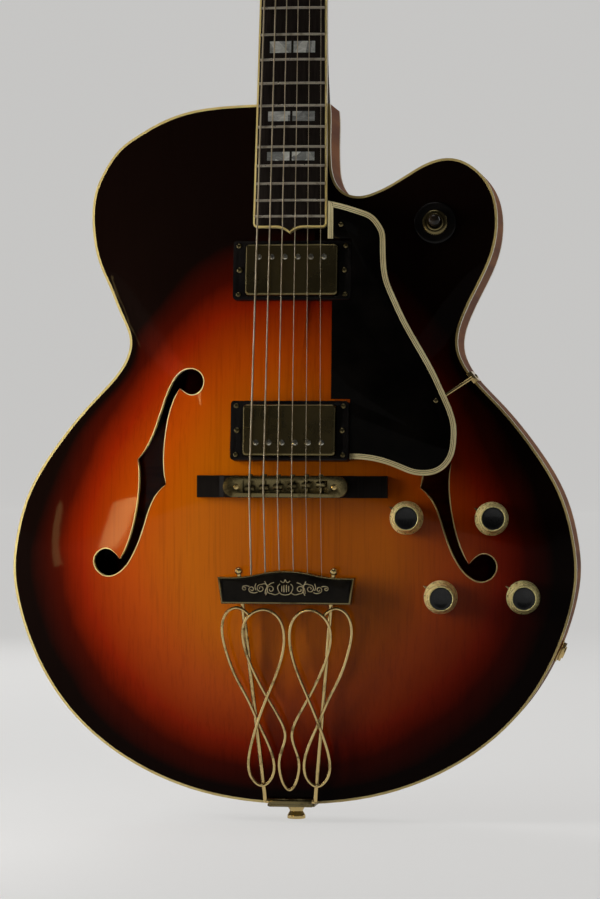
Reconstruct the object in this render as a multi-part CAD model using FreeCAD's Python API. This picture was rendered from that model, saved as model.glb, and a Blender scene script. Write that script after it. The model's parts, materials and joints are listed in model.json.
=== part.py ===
"""Thin-bodied electric archtop guitar with one rounded cutaway, built piece by piece.

Everything is modelled lying on the bench: x points to the treble side, y along the
centre line towards the head, z out of the top. The bench origin is where the centre
line leaves the tail end of the rim, at half the rim's depth. Each finished piece is
then stood upright, so that z points up the neck and the top faces minus y.
All lengths are millimetres and all angles degrees.
"""
import FreeCAD
import Part
import math
import os

from FreeCAD import Placement, Rotation, Vector

# Body
LOWER_BOUT = 431.8
BODY_LENGTH = 531.0
RIM_DEPTH = 60.0
RIM_WALL = 3.0
PLATE_EDGE = 5.0
TOP_ARCH = 17.0
BACK_ARCH = 15.0
TOP_THICKNESS = 5.0
BACK_THICKNESS = 4.6
BINDING_WIDTH = 1.8
LINING_WIDTH = 8.0
LINING_HEIGHT = 14.0
NECK_BLOCK_WIDTH = 76.0
NECK_BLOCK_LENGTH = 62.0
TAIL_BLOCK_WIDTH = 82.0
TAIL_BLOCK_LENGTH = 26.0
TONE_BAR_WIDTH = 7.0
TONE_BAR_HEIGHT = 11.0
TONE_BAR_LENGTH = 330.0
TONE_BAR_SPREAD = 104.0
OVERRUN = 40.0
RIM_SEARCH_POINTS = 900

# Sound holes
F_LENGTH = 156.6
F_WIDTH = 85.0
F_OFFSET = 108.8
F_HEIGHT = 251.0
F_BINDING_WIDTH = 0.8
F_TREBLE_OUTWARD = 4.4
F_TREBLE_DOWN = 2.0
F_STRIP_POINTS = 40
F_STRIP_TAPER_STEPS = 4

# Neck and fingerboard
SCALE_LENGTH = 647.7
FRET_COUNT = 20
BODY_FRET = 14
NECK_ANGLE = 5.0
NECK_RISE = 4.0
NUT_WIDTH = 43.5
BOARD_END_WIDTH = 56.2
BOARD_THICKNESS = 6.0
BOARD_RADIUS = 305.0
BOARD_TAIL = 95.5
BOARD_POINT = 4.6
BOARD_POINT_WIDTH = 20.0
BOARD_CORNER = 3.5
BOARD_BINDING_WIDTH = 1.4
FRET_WIDTH = 2.0
FRET_HEIGHT = 1.2
NUT_LENGTH = 5.0
NUT_RISE = 2.6
SHAFT_DEPTH_NUT = 14.0
HEEL_DEPTH = 84.0
HEEL_LENGTH = 64.0
HEEL_CAP_THICKNESS = 3.0
TENON_WIDTH = 32.0
TENON_LENGTH = 24.0
TENON_HEIGHT = 40.0
EXTENSION_LENGTH = 84.0
INLAY_FRETS = (1, 3, 5, 7, 9, 12, 15, 17)
INLAY_DEPTH = 1.2
INLAY_GAP = 1.8
TRUSS_ROD_RADIUS = 2.5
TRUSS_ROD_LENGTH = 350.0
TRUSS_ROD_DEPTH = 6.0
TRUSS_NUT_RADIUS = 4.0
TRUSS_NUT_LENGTH = 9.0
TRUSS_POCKET_LENGTH = 26.0
TRUSS_POCKET_WIDTH = 12.0
TRUSS_COVER_LENGTH = 36.0
TRUSS_COVER_WIDTH = 26.0
TRUSS_COVER_THICKNESS = 2.0
TRUSS_COVER_GAP = 1.0
COVER_SCREW_INSET = 3.6
COVER_SCREW_SHANK = 7.0
HEEL_BUTTON_PLACE = 9.0
HEEL_BUTTON_SHANK_RADIUS = 2.0
HEEL_BUTTON_SHANK_LENGTH = 14.0
EXTENSION_DEPTH = 16.0

# Head
HEAD_ANGLE = 15.0
HEAD_LENGTH = 184.0
HEAD_WIDTH = 85.0
HEAD_THICKNESS = 14.0
HEAD_CROWN = 9.0
HEAD_CORNER = 7.0
VENEER_THICKNESS = 2.0

# Tuning machines
TUNER_FIRST = 46.0
TUNER_SPACING = 40.0
TUNER_OFFSET = 22.5
TUNER_FLARE = 2.4
POST_RADIUS = 3.0
POST_TOP = 14.0
POST_CHAMFER = 0.6
POST_EYE_RISE = 1.9
POST_HOLE_RADIUS = 0.9
RUN_CLEARANCE = 0.08
BUSHING_RADIUS = 4.6
BUSHING_LENGTH = 9.0
BUSHING_FLANGE_RADIUS = 7.0
BUSHING_FLANGE_THICKNESS = 1.6
GEAR_TEETH = 14
GEAR_MODULE = 0.65
GEAR_THICKNESS = 2.2
TOOTH_FILL_SHARE = 0.36
ROOT_SHARE = 1.25
TIP_SHARE = 0.75
WORM_PITCH_RADIUS = 2.2
WORM_ADDENDUM = 0.5
WORM_DEDENDUM = 0.7
WORM_TURNS = 3
HOUSING_LENGTH = 18.0
HOUSING_WIDTH = 20.0
HOUSING_SHIFT = 2.2
HOUSING_DEPTH = 10.0
HOUSING_WALL = 1.6
HOUSING_CORNER = 2.4
BUTTON_SHAFT_RADIUS = 1.6
BUTTON_REACH = 20.0
BUTTON_LENGTH = 17.0
BUTTON_WIDTH = 20.0
BUTTON_THICKNESS = 9.0
BUTTON_CORNER = 3.4
COLLAR_RADIUS = 3.6
COLLAR_GAP = 0.3

# Strings
STRING_DIAMETERS = (1.32, 1.07, 0.81, 0.61, 0.41, 0.33)
STRING_SPAN_NUT = 35.5
STRING_SPAN_BRIDGE = 53.4
STRING_SIDES = 8
STRING_LIFT_BRIDGE = 5.0
STRING_LIFT_NUT = 1.6
STRING_SEAT_DEPTH = 3.0
STRING_SEAT_RADIUS = 1.2
WINDING_TURNS = 3
WINDING_GAP = 0.5
WINDING_CLEARANCE = 0.2
WINDING_LIFT = 10.2
WINDING_STEPS = 8
TURN_WAY = (1, 1, 1, -1, -1, -1)

# Bridge
BRIDGE_SETBACK = 2.6
BRIDGE_BASE_LENGTH = 144.6
BRIDGE_BASE_WIDTH = 16.6
BRIDGE_BASE_OFFSET = 2.6
BRIDGE_BASE_RISE = 8.0
BRIDGE_TAIL_RISE = 4.2
BRIDGE_STEP_WIDTH = 102.0
BRIDGE_STEP_SLOPE = 4.0
BRIDGE_BODY_LENGTH = 94.0
BRIDGE_BODY_WIDTH = 15.6
BRIDGE_BODY_HEIGHT = 8.4
BRIDGE_RIM = 3.0
BRIDGE_FLOOR = 3.0
BRIDGE_POST_SPAN = 74.0
BRIDGE_POST_RADIUS = 2.2
THUMBWHEEL_RADIUS = 8.0
THUMBWHEEL_HEIGHT = 3.4
SADDLE_WIDTH = 7.0
SADDLE_LENGTH = 4.4
SADDLE_SCREW_RADIUS = 1.2
SADDLE_HEAD_RADIUS = 1.9
SADDLE_HEAD_LENGTH = 1.6
SADDLE_CLEARANCE = 1.8
SADDLE_SHIFT = 3.2
SADDLE_SCREW_LIFT = 2.2
TROUGH_LENGTH = 64.0
BRIDGE_POST_DEPTH = 7.0

# Tailpiece
BAR_WIDTH = 103.6
BAR_FOOT_WIDTH = 98.0
BAR_BOTTOM = 153.0
BAR_HEIGHT = 20.0
BAR_CREST = 5.0
BAR_SWELL = 42.0
BAR_THICKNESS = 11.0
BAR_EDGE = 1.6
BAR_LIFT = 28.0
ROD_RADIUS = 1.7
ROD_FOOT_SPAN = 38.0
ROD_TOP_SPAN = 72.0
ROD_NUT_RADIUS = 3.0
WIRE_RADIUS = 1.2
WIRE_GAP = 0.3
WIRE_RUNS = 24
HINGE_RADIUS = 2.6
HINGE_LENGTH = 33.0
HINGE_HEIGHT = 3.2
HINGE_FORWARD = 2.4
BRACKET_WIDTH = 36.0
BRACKET_THICKNESS = 2.0
BRACKET_DROP = 52.0
END_PIN_RADIUS = 4.0
END_PIN_HEAD_RADIUS = 7.0
END_PIN_WAIST_RADIUS = 5.0
END_PIN_REACH = 12.0
END_PIN_DEPTH = 16.0
END_PIN_LIP = 2.6

# Pickups
PICKUP_OFFSET = 1.9
NECK_PICKUP_HEIGHT = 404.4
BRIDGE_PICKUP_HEIGHT = 283.6
COVER_LENGTH = 70.4
COVER_WIDTH = 39.0
COVER_DEPTH = 17.0
COVER_WALL = 0.7
COVER_CORNER = 3.0
COVER_EDGE = 1.8
COIL_CLEARANCE = 0.3
STRING_GAP = 4.4
RING_LENGTH = 89.6
RING_WIDTH = 44.6
RING_CORNER = 2.6
RING_DROP = 3.6
RING_STOCK = 26.0
RING_SHANK_LENGTH = 15.0
RING_CLEARANCE = 0.4
POLE_ROW = 9.6
POLE_RADIUS = 2.0
POLE_HEAD = 0.8
POLE_LENGTH = 19.0
POLE_SPAN = 49.5
RING_SCREW_X = 40.6
RING_SCREW_Y = 18.4
RING_SCREW_RADIUS = 1.9
HEIGHT_SCREW_X = 39.8
HEIGHT_SCREW_RADIUS = 2.2
SCREW_SHANK_SHARE = 0.6
SCREW_HEAD_RISE = 1.0
LEG_REACH = 42.2
LEG_WIDTH = 12.0
LEG_THICKNESS = 1.6
CAVITY_CLEARANCE = 1.6

# Controls
KNOB_PLACES = ((89.0, 218.0), (152.0, 217.5), (114.4, 158.8), (175.8, 158.8))
KNOB_BASE_RADIUS = 12.7
KNOB_FLANGE_HEIGHT = 2.6
KNOB_SKIRT_RADIUS = 11.2
KNOB_TOP_RADIUS = 9.3
KNOB_HEIGHT = 15.6
KNOB_DISH_RADIUS = 8.4
KNOB_DISH_DEPTH = 0.8
KNOB_GAP = 1.9
POT_SHAFT_RADIUS = 3.0
POT_SHAFT_REACH = 10.0
POT_BUSHING_RADIUS = 4.7
POT_BODY_RADIUS = 12.0
POT_BODY_DEPTH = 9.0
POT_SEAT = 6.6
POINTER_RADIUS = 8.0
POINTER_THICKNESS = 0.8
POINTER_REACH = 16.0
POINTER_WIDTH = 3.0
POINTER_ANGLE = 148.0
SWITCH_PLACE = (108.6, 440.0)
SWITCH_RING_RADIUS = 16.0
SWITCH_RING_THICKNESS = 1.6
SWITCH_COLLAR_RADIUS = 9.4
SWITCH_COLLAR_HEIGHT = 3.6
SWITCH_BUSHING_RADIUS = 6.0
SWITCH_BORE_RADIUS = 4.6
SWITCH_LEVER_RADIUS = 1.6
SWITCH_TIP_RADIUS = 4.7
SWITCH_TIP_LENGTH = 5.4
SWITCH_LEVER_LENGTH = 6.0
SWITCH_PIVOT_DEPTH = 4.0
SWITCH_BALL_RADIUS = 2.6
SWITCH_BODY_WIDTH = 17.0
SWITCH_BODY_LENGTH = 30.0
SWITCH_BODY_DEPTH = 18.0
SWITCH_SEAT_DEPTH = 8.0
SWITCH_AXLE_RADIUS = 0.8
JACK_HEIGHT = 117.4
JACK_BORE_RADIUS = 3.25
JACK_BARREL_RADIUS = 4.7
JACK_REACH = 4.6
JACK_INSIDE = 10.0
JACK_NUT_RADIUS = 7.4
JACK_NUT_HEIGHT = 2.6
JACK_WASHER_RADIUS = 9.0
JACK_WASHER_THICKNESS = 1.0
JACK_SHOULDER = 2.0

# Finger rest
GUARD_THICKNESS = 2.6
GUARD_BINDING_WIDTH = 4.0
GUARD_TOP_HEIGHT = 456.0
GUARD_LENGTH = 206.4
GUARD_WIDTH = 97.8
GUARD_LEFT = 29.4
GUARD_LIFT = 17.0
GUARD_TILT = 2.6
GUARD_CLEARANCE = 0.8
ARM_RADIUS = 1.4
ARM_FOOT_HEIGHT = 324.0
ARM_RISE = 4.0
ARM_SHANK_LENGTH = 9.0
ARM_HEAD = (112.0, 305.5)
ARM_PAD_WIDTH = 9.0
ARM_PAD_THICKNESS = 2.0
ARM_PAD_HEIGHT = 26.0
ARM_NUT_RADIUS = 3.2
ARM_NUT_LENGTH = 4.0
GUARD_POST_PLACE = (39.4, 438.0)
GUARD_SHANK_LENGTH = 7.0

# Outlines as shares, chosen by hand. Body points run clockwise from the treble corner
# of the neck joint: shares of half the lower bout across, of the body's length along.
CUTAWAY_SHARES = (
    (0.130, 1.000), (0.1315, 0.951), (0.135, 0.9115), (0.153, 0.885), (0.188, 0.872), (0.227, 0.868),
    (0.287, 0.873), (0.366, 0.889), (0.468, 0.9134), (0.556, 0.921), (0.641, 0.906), (0.6995, 0.875),
    (0.7195, 0.832), (0.702, 0.785), (0.644, 0.7326), (0.594, 0.687), (0.581, 0.659),
)
LOWER_SHARES = (
    (0.6045, 0.628), (0.711, 0.577), (0.850, 0.5085), (0.947, 0.441), (0.991, 0.375), (1.000, 0.339),
    (0.975, 0.271), (0.9125, 0.2034), (0.806, 0.1356), (0.6115, 0.0665), (0.3126, 0.0143),
)
UPPER_SHARES = (
    (0.581, 0.659), (0.588, 0.6755), (0.615, 0.700), (0.651, 0.736), (0.687, 0.768), (0.709, 0.800),
    (0.718, 0.842), (0.705, 0.880), (0.676, 0.906), (0.618, 0.939), (0.561, 0.956), (0.482, 0.9744),
    (0.378, 0.990), (0.256, 0.9975), (0.130, 1.000),
)
# Arch contours from the edge to the crown: size, height and roundness shares.
ARCH_SHARES = (
    (1.00, 0.00, 0.00), (0.95, 0.025, 0.03), (0.88, 0.10, 0.09), (0.79, 0.27, 0.18), (0.67, 0.51, 0.32),
    (0.53, 0.75, 0.52), (0.38, 0.905, 0.75), (0.23, 0.98, 0.92), (0.10, 1.00, 1.00),
)
ARCH_CENTRE_SHARE = 0.44
ARCH_OVAL_SHARES = (0.86, 0.50)
OUTLINE_SAMPLES = 120

# One sound hole, in shares of half its width and half its length about its centre.
# The four runs end at the two eye cusps and the two notch points.
F_RUN_SHARES = (
    ((0.560, 0.818), (0.400, 0.612), (0.306, 0.322), (0.290, 0.089), (0.336, -0.110)),
    ((0.336, -0.110), (0.100, -0.268), (-0.062, -0.513), (-0.278, -0.808), (-0.504, -0.964),
     (-0.756, -1.016), (-0.965, -0.954), (-1.024, -0.855), (-0.942, -0.766), (-0.756, -0.733),
     (-0.606, -0.784), (-0.524, -0.838)),
    ((-0.524, -0.838), (-0.362, -0.639), (-0.250, -0.406), (-0.186, -0.140), (-0.206, 0.130)),
    ((-0.206, 0.130), (0.018, 0.322), (0.196, 0.590), (0.384, 0.860), (0.550, 0.975),
     (0.768, 1.016), (0.958, 0.972), (1.022, 0.880), (0.942, 0.782), (0.776, 0.750),
     (0.650, 0.778), (0.560, 0.818)),
)

# Heel and shaft: place along the heel or shaft, share of the depth, bluntness of the section.
HEEL_SHARES = (
    (-0.25, 1.00, 2.0), (0.0, 0.98, 2.0), (0.20, 0.84, 2.0), (0.42, 0.52, 2.1), (0.70, 0.315, 2.2),
    (1.0, 0.236, 2.3),
    (1.3, 0.209, 2.3),
)
SHAFT_END_SHARE = 1.015
SECTION_POINTS = 15

# Half of the head's edge from the nut to the crown: shares of the length and of half the width.
HEAD_SHARES = ((0.0, 0.512), (0.06, 0.53), (0.13, 0.70), (0.22, 0.82), (0.45, 0.87), (0.72, 0.93), (1.0, 1.0))
COVER_WAIST_SHARE = 0.42
SADDLE_SHOULDER_SHARE = 0.6

# Finger rest edge, clockwise from its neck corner, in shares of its width and length.
GUARD_EDGE_SHARES = (
    (0.000, 1.000), (0.130, 0.985), (0.250, 0.967), (0.345, 0.947), (0.403, 0.916), (0.434, 0.888),
    (0.445, 0.835), (0.450, 0.773), (0.469, 0.715), (0.523, 0.650), (0.602, 0.570), (0.719, 0.472),
    (0.836, 0.374), (0.914, 0.295), (0.968, 0.236), (0.997, 0.186), (1.000, 0.128), (0.977, 0.070),
    (0.922, 0.030), (0.845, 0.007), (0.752, 0.000), (0.664, 0.005), (0.563, 0.023), (0.406, 0.048),
    (0.265, 0.058), (0.170, 0.058),
)
GUARD_WAIST_SHARE = 0.036
# Ends and middles of the three arcs of the tail bar's upper edge, in shares of its swell.
SWELL_BEND_SHARES = (-1.0, -0.75, -0.5, 0.0, 0.5, 0.75, 1.0)

# Blocks of pearl between frets: shares of the board's width and of the fret space.
INLAY_WIDTH_SHARE = 0.66
INLAY_LENGTH_SHARE = 0.46

# Bass half of the tailpiece's bent wire, from its end under the bar to the middle: shares of half
# the bar's width across, of the space below the bar along, and of one wire crossing over another.
WIRE_SHARES = (
    (-0.531, 0.938, 0.0), (-0.627, 0.971, 0.0), (-0.732, 0.983, 0.0), (-0.849, 0.966, 0.0),
    (-0.944, 0.894, 0.0), (-0.905, 0.777, 0.0), (-0.757, 0.632, 0.0), (-0.595, 0.524, 0.0),
    (-0.446, 0.407, 0.0), (-0.284, 0.280, 0.0), (-0.222, 0.195, 0.0), (-0.268, 0.118, 0.0),
    (-0.403, 0.084, 0.0), (-0.546, 0.118, 0.0), (-0.598, 0.204, 0.0), (-0.546, 0.298, 0.4),
    (-0.446, 0.407, 1.0), (-0.305, 0.533, 1.0), (-0.151, 0.659, 0.4), (-0.050, 0.785, 0.0),
    (-0.043, 0.858, 0.0), (-0.114, 0.932, 0.0), (-0.324, 0.976, 0.5), (-0.550, 0.943, 1.0),
    (-0.641, 0.867, 0.4), (-0.602, 0.759, 0.0), (-0.467, 0.641, 0.0), (-0.305, 0.533, 0.0),
    (-0.141, 0.434, 0.0), (-0.050, 0.343, 0.0), (-0.147, 0.190, 0.0),
)
WIRE_MIDDLE_SHARE = 0.064

# Worked-out sizes
HALF_BOUT = LOWER_BOUT / 2
TOP_EDGE = RIM_DEPTH / 2
RIM_TOP = TOP_EDGE - PLATE_EDGE
ARCH_CENTRE = Vector(0, ARCH_CENTRE_SHARE * BODY_LENGTH, 0)
FREE_LENGTH = SCALE_LENGTH * (1 - 2 ** (-BODY_FRET / 12))
BRIDGE_RUN = SCALE_LENGTH + BRIDGE_SETBACK - FREE_LENGTH
NECK_BASE = Vector(0, BODY_LENGTH, TOP_EDGE + NECK_RISE)
NECK_PLACE = Placement(NECK_BASE, Rotation(Vector(1, 0, 0), -NECK_ANGLE))
HEAD_PLACE = NECK_PLACE.multiply(
    Placement(Vector(0, FREE_LENGTH + NUT_LENGTH, 0), Rotation(Vector(1, 0, 0), -HEAD_ANGLE)))
GEAR_PITCH_RADIUS = GEAR_MODULE * GEAR_TEETH / 2
WORM_PITCH = math.pi * GEAR_MODULE
WORM_DISTANCE = GEAR_PITCH_RADIUS + WORM_PITCH_RADIUS
STRING_COUNT = len(STRING_DIAMETERS)
BAR_Z = TOP_EDGE + BAR_LIFT
SWELL_RADIUS = (BAR_SWELL ** 2 + BAR_CREST ** 2) / (4 * BAR_CREST)
GEAR_Z = -HEAD_THICKNESS - HOUSING_DEPTH / 2
BRIDGE_HEIGHT = BODY_LENGTH - BRIDGE_RUN * math.cos(math.radians(NECK_ANGLE))
STRING_Z = (NECK_BASE.z + BOARD_THICKNESS + STRING_LIFT_BRIDGE
            + BRIDGE_RUN * math.sin(math.radians(NECK_ANGLE)))

PIECES = {}


# Small helpers
def keep(name, shape):
    """Files a finished piece under its node name."""
    PIECES[name] = shape
    return shape


def placed(shape, place):
    """A copy of a shape, carried by a placement."""
    moved = shape.copy()
    moved.Placement = place.multiply(moved.Placement)
    return moved


def block(x0, x1, y0, y1, z0, z1):
    """A box between two corners."""
    return Part.makeBox(x1 - x0, y1 - y0, z1 - z0, Vector(x0, y0, z0))


def rod(start, end, radius):
    """A round bar between two points."""
    run = end - start
    return Part.makeCylinder(radius, run.Length, start, run)


def ring(outer, inner, base, axis, height):
    """A flat round ring standing on base."""
    bored = Part.makeCylinder(outer, height, base, axis)
    return bored.cut(Part.makeCylinder(inner, height, base, axis))


def slab(wire, z0, z1):
    """A flat piece of the outline of a wire that lies at height zero."""
    face = Part.Face(wire)
    face.translate(Vector(0, 0, z0))
    return face.extrude(Vector(0, 0, z1 - z0))


def fused(shapes):
    """Several solids joined into one."""
    whole = shapes[0]
    if len(shapes) > 1:
        whole = whole.multiFuse(shapes[1:])
    return whole.removeSplitter()


def group(shapes):
    """Separate solids kept side by side."""
    solids = [solid for shape in shapes for solid in shape.Solids]
    return Part.makeCompound(solids)


def through(points):
    """A smooth edge through points."""
    curve = Part.BSplineCurve()
    curve.interpolate(points)
    return curve.toShape()


def rounded_block(length, width, height, corner, centre, z0):
    """A block with rounded upright edges."""
    whole = block(centre.x - length / 2, centre.x + length / 2, centre.y - width / 2, centre.y + width / 2,
                  z0, z0 + height)
    upright = [e for e in whole.Edges if abs(e.Vertexes[0].Z - e.Vertexes[1].Z) > height / 2]
    return whole.makeFillet(corner, upright)


def mirrored(shape):
    """The same shape on the other side of the centre line."""
    return shape.mirror(Vector(0, 0, 0), Vector(1, 0, 0))


# Body outline
def body_points():
    """Outline points from the treble corner of the neck joint round to its bass corner."""
    right = [(x, y) for x, y in CUTAWAY_SHARES + LOWER_SHARES]
    left = [(-x, y) for x, y in LOWER_SHARES[::-1]] + [(-x, y) for x, y in UPPER_SHARES]
    whole = right + [(0, 0)] + left
    return [Vector(x * HALF_BOUT, y * BODY_LENGTH, 0) for x, y in whole]


def inset_points(inset):
    """Outline points moved inwards by an inset, corner first."""
    base = through(body_points()).discretize(Number=OUTLINE_SAMPLES)
    corner = Vector(base[0].x - inset, BODY_LENGTH - inset, 0)
    moved = [corner]
    for before, here, after in zip(base, base[1:], base[2:]):
        along = (after - before).normalize()
        inner = here + Vector(along.y, -along.x, 0) * inset
        past_corner = (inner - corner).Length > (base[1] - base[0]).Length / 2
        if inner.y < corner.y and past_corner or inner.x < 0:
            moved.append(inner)
    moved.append(Vector(base[-1].x, BODY_LENGTH - inset, 0))
    return moved


def outline_wire(inset):
    """The closed outline, moved inwards by an inset, at height zero."""
    points = inset_points(inset)
    return Part.Wire([through(points), Part.LineSegment(points[-1], points[0]).toShape()])


def arch_wire(points, size, roundness, z):
    """One contour of an arch: the outline drawn in towards the crown and rounded."""
    wide, tall = (share * length for share, length in zip(ARCH_OVAL_SHARES, (HALF_BOUT, BODY_LENGTH)))
    contour = []
    for point in points:
        out = point - ARCH_CENTRE
        turn = math.atan2(out.y / tall, out.x / wide)
        oval = Vector(wide * math.cos(turn), tall * math.sin(turn), 0)
        shift = (out * (1 - roundness) + oval * roundness) * size
        contour.append(ARCH_CENTRE + shift + Vector(0, 0, z))
    return Part.Wire([through(contour), Part.LineSegment(contour[-1], contour[0]).toShape()])


def arch(inset, base_z, rise):
    """A solid dome on the outline, from a flat base up or down to its crown."""
    points = inset_points(inset)
    wires = [arch_wire(points, size, roundness, base_z + rise * height)
             for size, height, roundness in ARCH_SHARES]
    return Part.makeLoft(wires, True, False)


RIM_PRISM = slab(outline_wire(0), -TOP_EDGE, TOP_EDGE)
TOP_DOME = arch(BINDING_WIDTH, TOP_EDGE, TOP_ARCH)
TOP_HOLLOW = arch(RIM_WALL + LINING_WIDTH, RIM_TOP, TOP_ARCH + PLATE_EDGE - TOP_THICKNESS)
BACK_DOME = arch(BINDING_WIDTH, -TOP_EDGE, -BACK_ARCH)
BACK_HOLLOW = arch(RIM_WALL + LINING_WIDTH, -RIM_TOP, BACK_THICKNESS - PLATE_EDGE - BACK_ARCH)


def top_z(x, y):
    """Height of the top's outer face at a place."""
    needle = Part.LineSegment(Vector(x, y, TOP_EDGE), Vector(x, y, TOP_EDGE + TOP_ARCH + OVERRUN)).toShape()
    return needle.common(TOP_DOME).BoundBox.ZMax


def top_place(x, y):
    """A placement on the top at a place, with z square to its surface."""
    step = KNOB_BASE_RADIUS / 2
    slope_x = (top_z(x + step, y) - top_z(x - step, y)) / (2 * step)
    slope_y = (top_z(x, y + step) - top_z(x, y - step)) / (2 * step)
    normal = Vector(-slope_x, -slope_y, 1)
    return Placement(Vector(x, y, top_z(x, y)), Rotation(Vector(0, 0, 1), normal))


def below_top(shape):
    """A shape with everything under the body's outer face cut away."""
    return shape.cut(TOP_DOME).cut(RIM_PRISM)


KNOB_SEATS = [top_place(x, y) for x, y in KNOB_PLACES]
SWITCH_SEAT = top_place(*SWITCH_PLACE)


def string_x(index, span):
    """Sideways place of a string, counted from the bass side."""
    return (index / (STRING_COUNT - 1) - 1 / 2) * span


def fret_place(number):
    """Distance of a fret from the body joint along the neck, towards the nut."""
    return SCALE_LENGTH * 2 ** (-number / 12) - BRIDGE_RUN


def board_half_width(along, inset):
    """Half the fingerboard's width at a distance from the body joint."""
    slope = (BOARD_END_WIDTH - NUT_WIDTH) / (FREE_LENGTH + BOARD_TAIL)
    return (NUT_WIDTH + (FREE_LENGTH - along) * slope) / 2 - inset


def string_z(y):
    """Height of the string plane above the body's middle at a distance from the tail."""
    return STRING_Z - (y - BRIDGE_HEIGHT) * math.tan(math.radians(NECK_ANGLE))


def rim_place(height):
    """A placement on the treble rim at a distance from the tail, with z pointing outwards."""
    points = [p for p in through(body_points()).discretize(Number=RIM_SEARCH_POINTS) if p.x > 0]
    nearest = min(range(1, len(points) - 1), key=lambda i: abs(points[i].y - height))
    along = (points[nearest + 1] - points[nearest - 1]).normalize()
    outward = Vector(-along.y, along.x, 0)
    upward = Vector(0, 0, 1)
    return Placement(points[nearest], Rotation(upward.cross(outward), upward, outward, "ZYX"))


JACK_SEAT = rim_place(JACK_HEIGHT)
ARM_SEAT = rim_place(ARM_FOOT_HEIGHT)
Z_AXIS = Vector(0, 0, 1)
ORIGIN = Vector(0, 0, 0)


def at(x, y, z):
    """A point."""
    return Vector(x, y, z)


# Sound holes
def f_runs():
    """The four edges of the sound hole on the bass side."""
    half_width = F_WIDTH / 2
    half_length = F_LENGTH / 2
    return [through([at(x * half_width - F_OFFSET, y * half_length + F_HEIGHT, 0) for x, y in run])
            for run in F_RUN_SHARES]


def f_strip(run):
    """The binding along one edge of a sound hole, running out to nothing at both ends."""
    samples = run.discretize(Number=F_STRIP_POINTS)
    inner = [samples[0]]
    for number in range(1, len(samples) - 1):
        along = (samples[number + 1] - samples[number - 1]).normalize()
        share = min(1, min(number, len(samples) - 1 - number) / F_STRIP_TAPER_STEPS)
        inner.append(samples[number] + at(along.y, -along.x, 0) * (F_BINDING_WIDTH * share))
    inner.append(samples[-1])
    return Part.Wire([run, through(inner[::-1])])


HIGH = TOP_EDGE + TOP_ARCH + OVERRUN
F_CUTS = [slab(Part.Wire(f_runs()), 0, HIGH)]
F_STRIPS = [slab(f_strip(run), 0, HIGH) for run in f_runs()]
TREBLE_HOLE_PLACE = Placement(at(F_TREBLE_OUTWARD, -F_TREBLE_DOWN, 0), Rotation())
F_CUTS += [placed(mirrored(shape), TREBLE_HOLE_PLACE) for shape in F_CUTS]
F_STRIPS += [placed(mirrored(shape), TREBLE_HOLE_PLACE) for shape in F_STRIPS]

# Holes that several pieces share
END_PIN_SHANK = Part.makeCylinder(END_PIN_RADIUS, END_PIN_DEPTH + BRACKET_THICKNESS,
                                  at(0, -BRACKET_THICKNESS, 0), at(0, 1, 0))
JACK_HOLE = placed(Part.makeCylinder(JACK_BARREL_RADIUS, JACK_REACH + JACK_INSIDE, at(0, 0, -JACK_INSIDE)),
                   JACK_SEAT)
TENON = block(-TENON_WIDTH / 2, TENON_WIDTH / 2, BODY_LENGTH - TENON_LENGTH, BODY_LENGTH,
              -TENON_HEIGHT / 2, TENON_HEIGHT / 2)
HEEL_BUTTON_SHANK = Part.makeCylinder(HEEL_BUTTON_SHANK_RADIUS, HEEL_BUTTON_SHANK_LENGTH,
                                      at(0, BODY_LENGTH + HEEL_BUTTON_PLACE, -TOP_EDGE))


# Pickups stand parallel to the strings, each in a frame of its own with z zero on the cover
def pickup_place(height):
    """The frame of a pickup at a distance from the tail."""
    return Placement(at(PICKUP_OFFSET, height, string_z(height) - STRING_GAP),
                     Rotation(Vector(1, 0, 0), -NECK_ANGLE))


PICKUPS = ((pickup_place(NECK_PICKUP_HEIGHT), 1), (pickup_place(BRIDGE_PICKUP_HEIGHT), -1))


def screw(x, y, z, radius, shank):
    """A dome-headed screw whose head sits at a height."""
    head = Part.makeSphere(radius, at(x, y, z - radius + SCREW_HEAD_RISE))
    head = head.common(block(x - radius, x + radius, y - radius, y + radius, z, z + radius))
    return fused([head, Part.makeCylinder(radius * SCREW_SHANK_SHARE, shank, at(x, y, z - shank))])


def ring_screws(place):
    """Four corner screws of a pickup ring."""
    return [placed(screw(x, y, -RING_DROP, RING_SCREW_RADIUS, RING_SHANK_LENGTH), place)
            for x in (-RING_SCREW_X, RING_SCREW_X) for y in (-RING_SCREW_Y, RING_SCREW_Y)]


def height_screws(place):
    """Two screws that hang a pickup in its ring."""
    return [placed(screw(x, 0, -RING_DROP, HEIGHT_SCREW_RADIUS, COVER_DEPTH + LEG_THICKNESS), place)
            for x in (-HEIGHT_SCREW_X, HEIGHT_SCREW_X)]


def pole_screws(place, side):
    """Six pole screws of a pickup."""
    poles = []
    for index in range(STRING_COUNT):
        foot = at(string_x(index, POLE_SPAN), side * POLE_ROW, POLE_HEAD - POLE_LENGTH)
        poles.append(placed(Part.makeCylinder(POLE_RADIUS, POLE_LENGTH, foot), place))
    return poles


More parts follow.
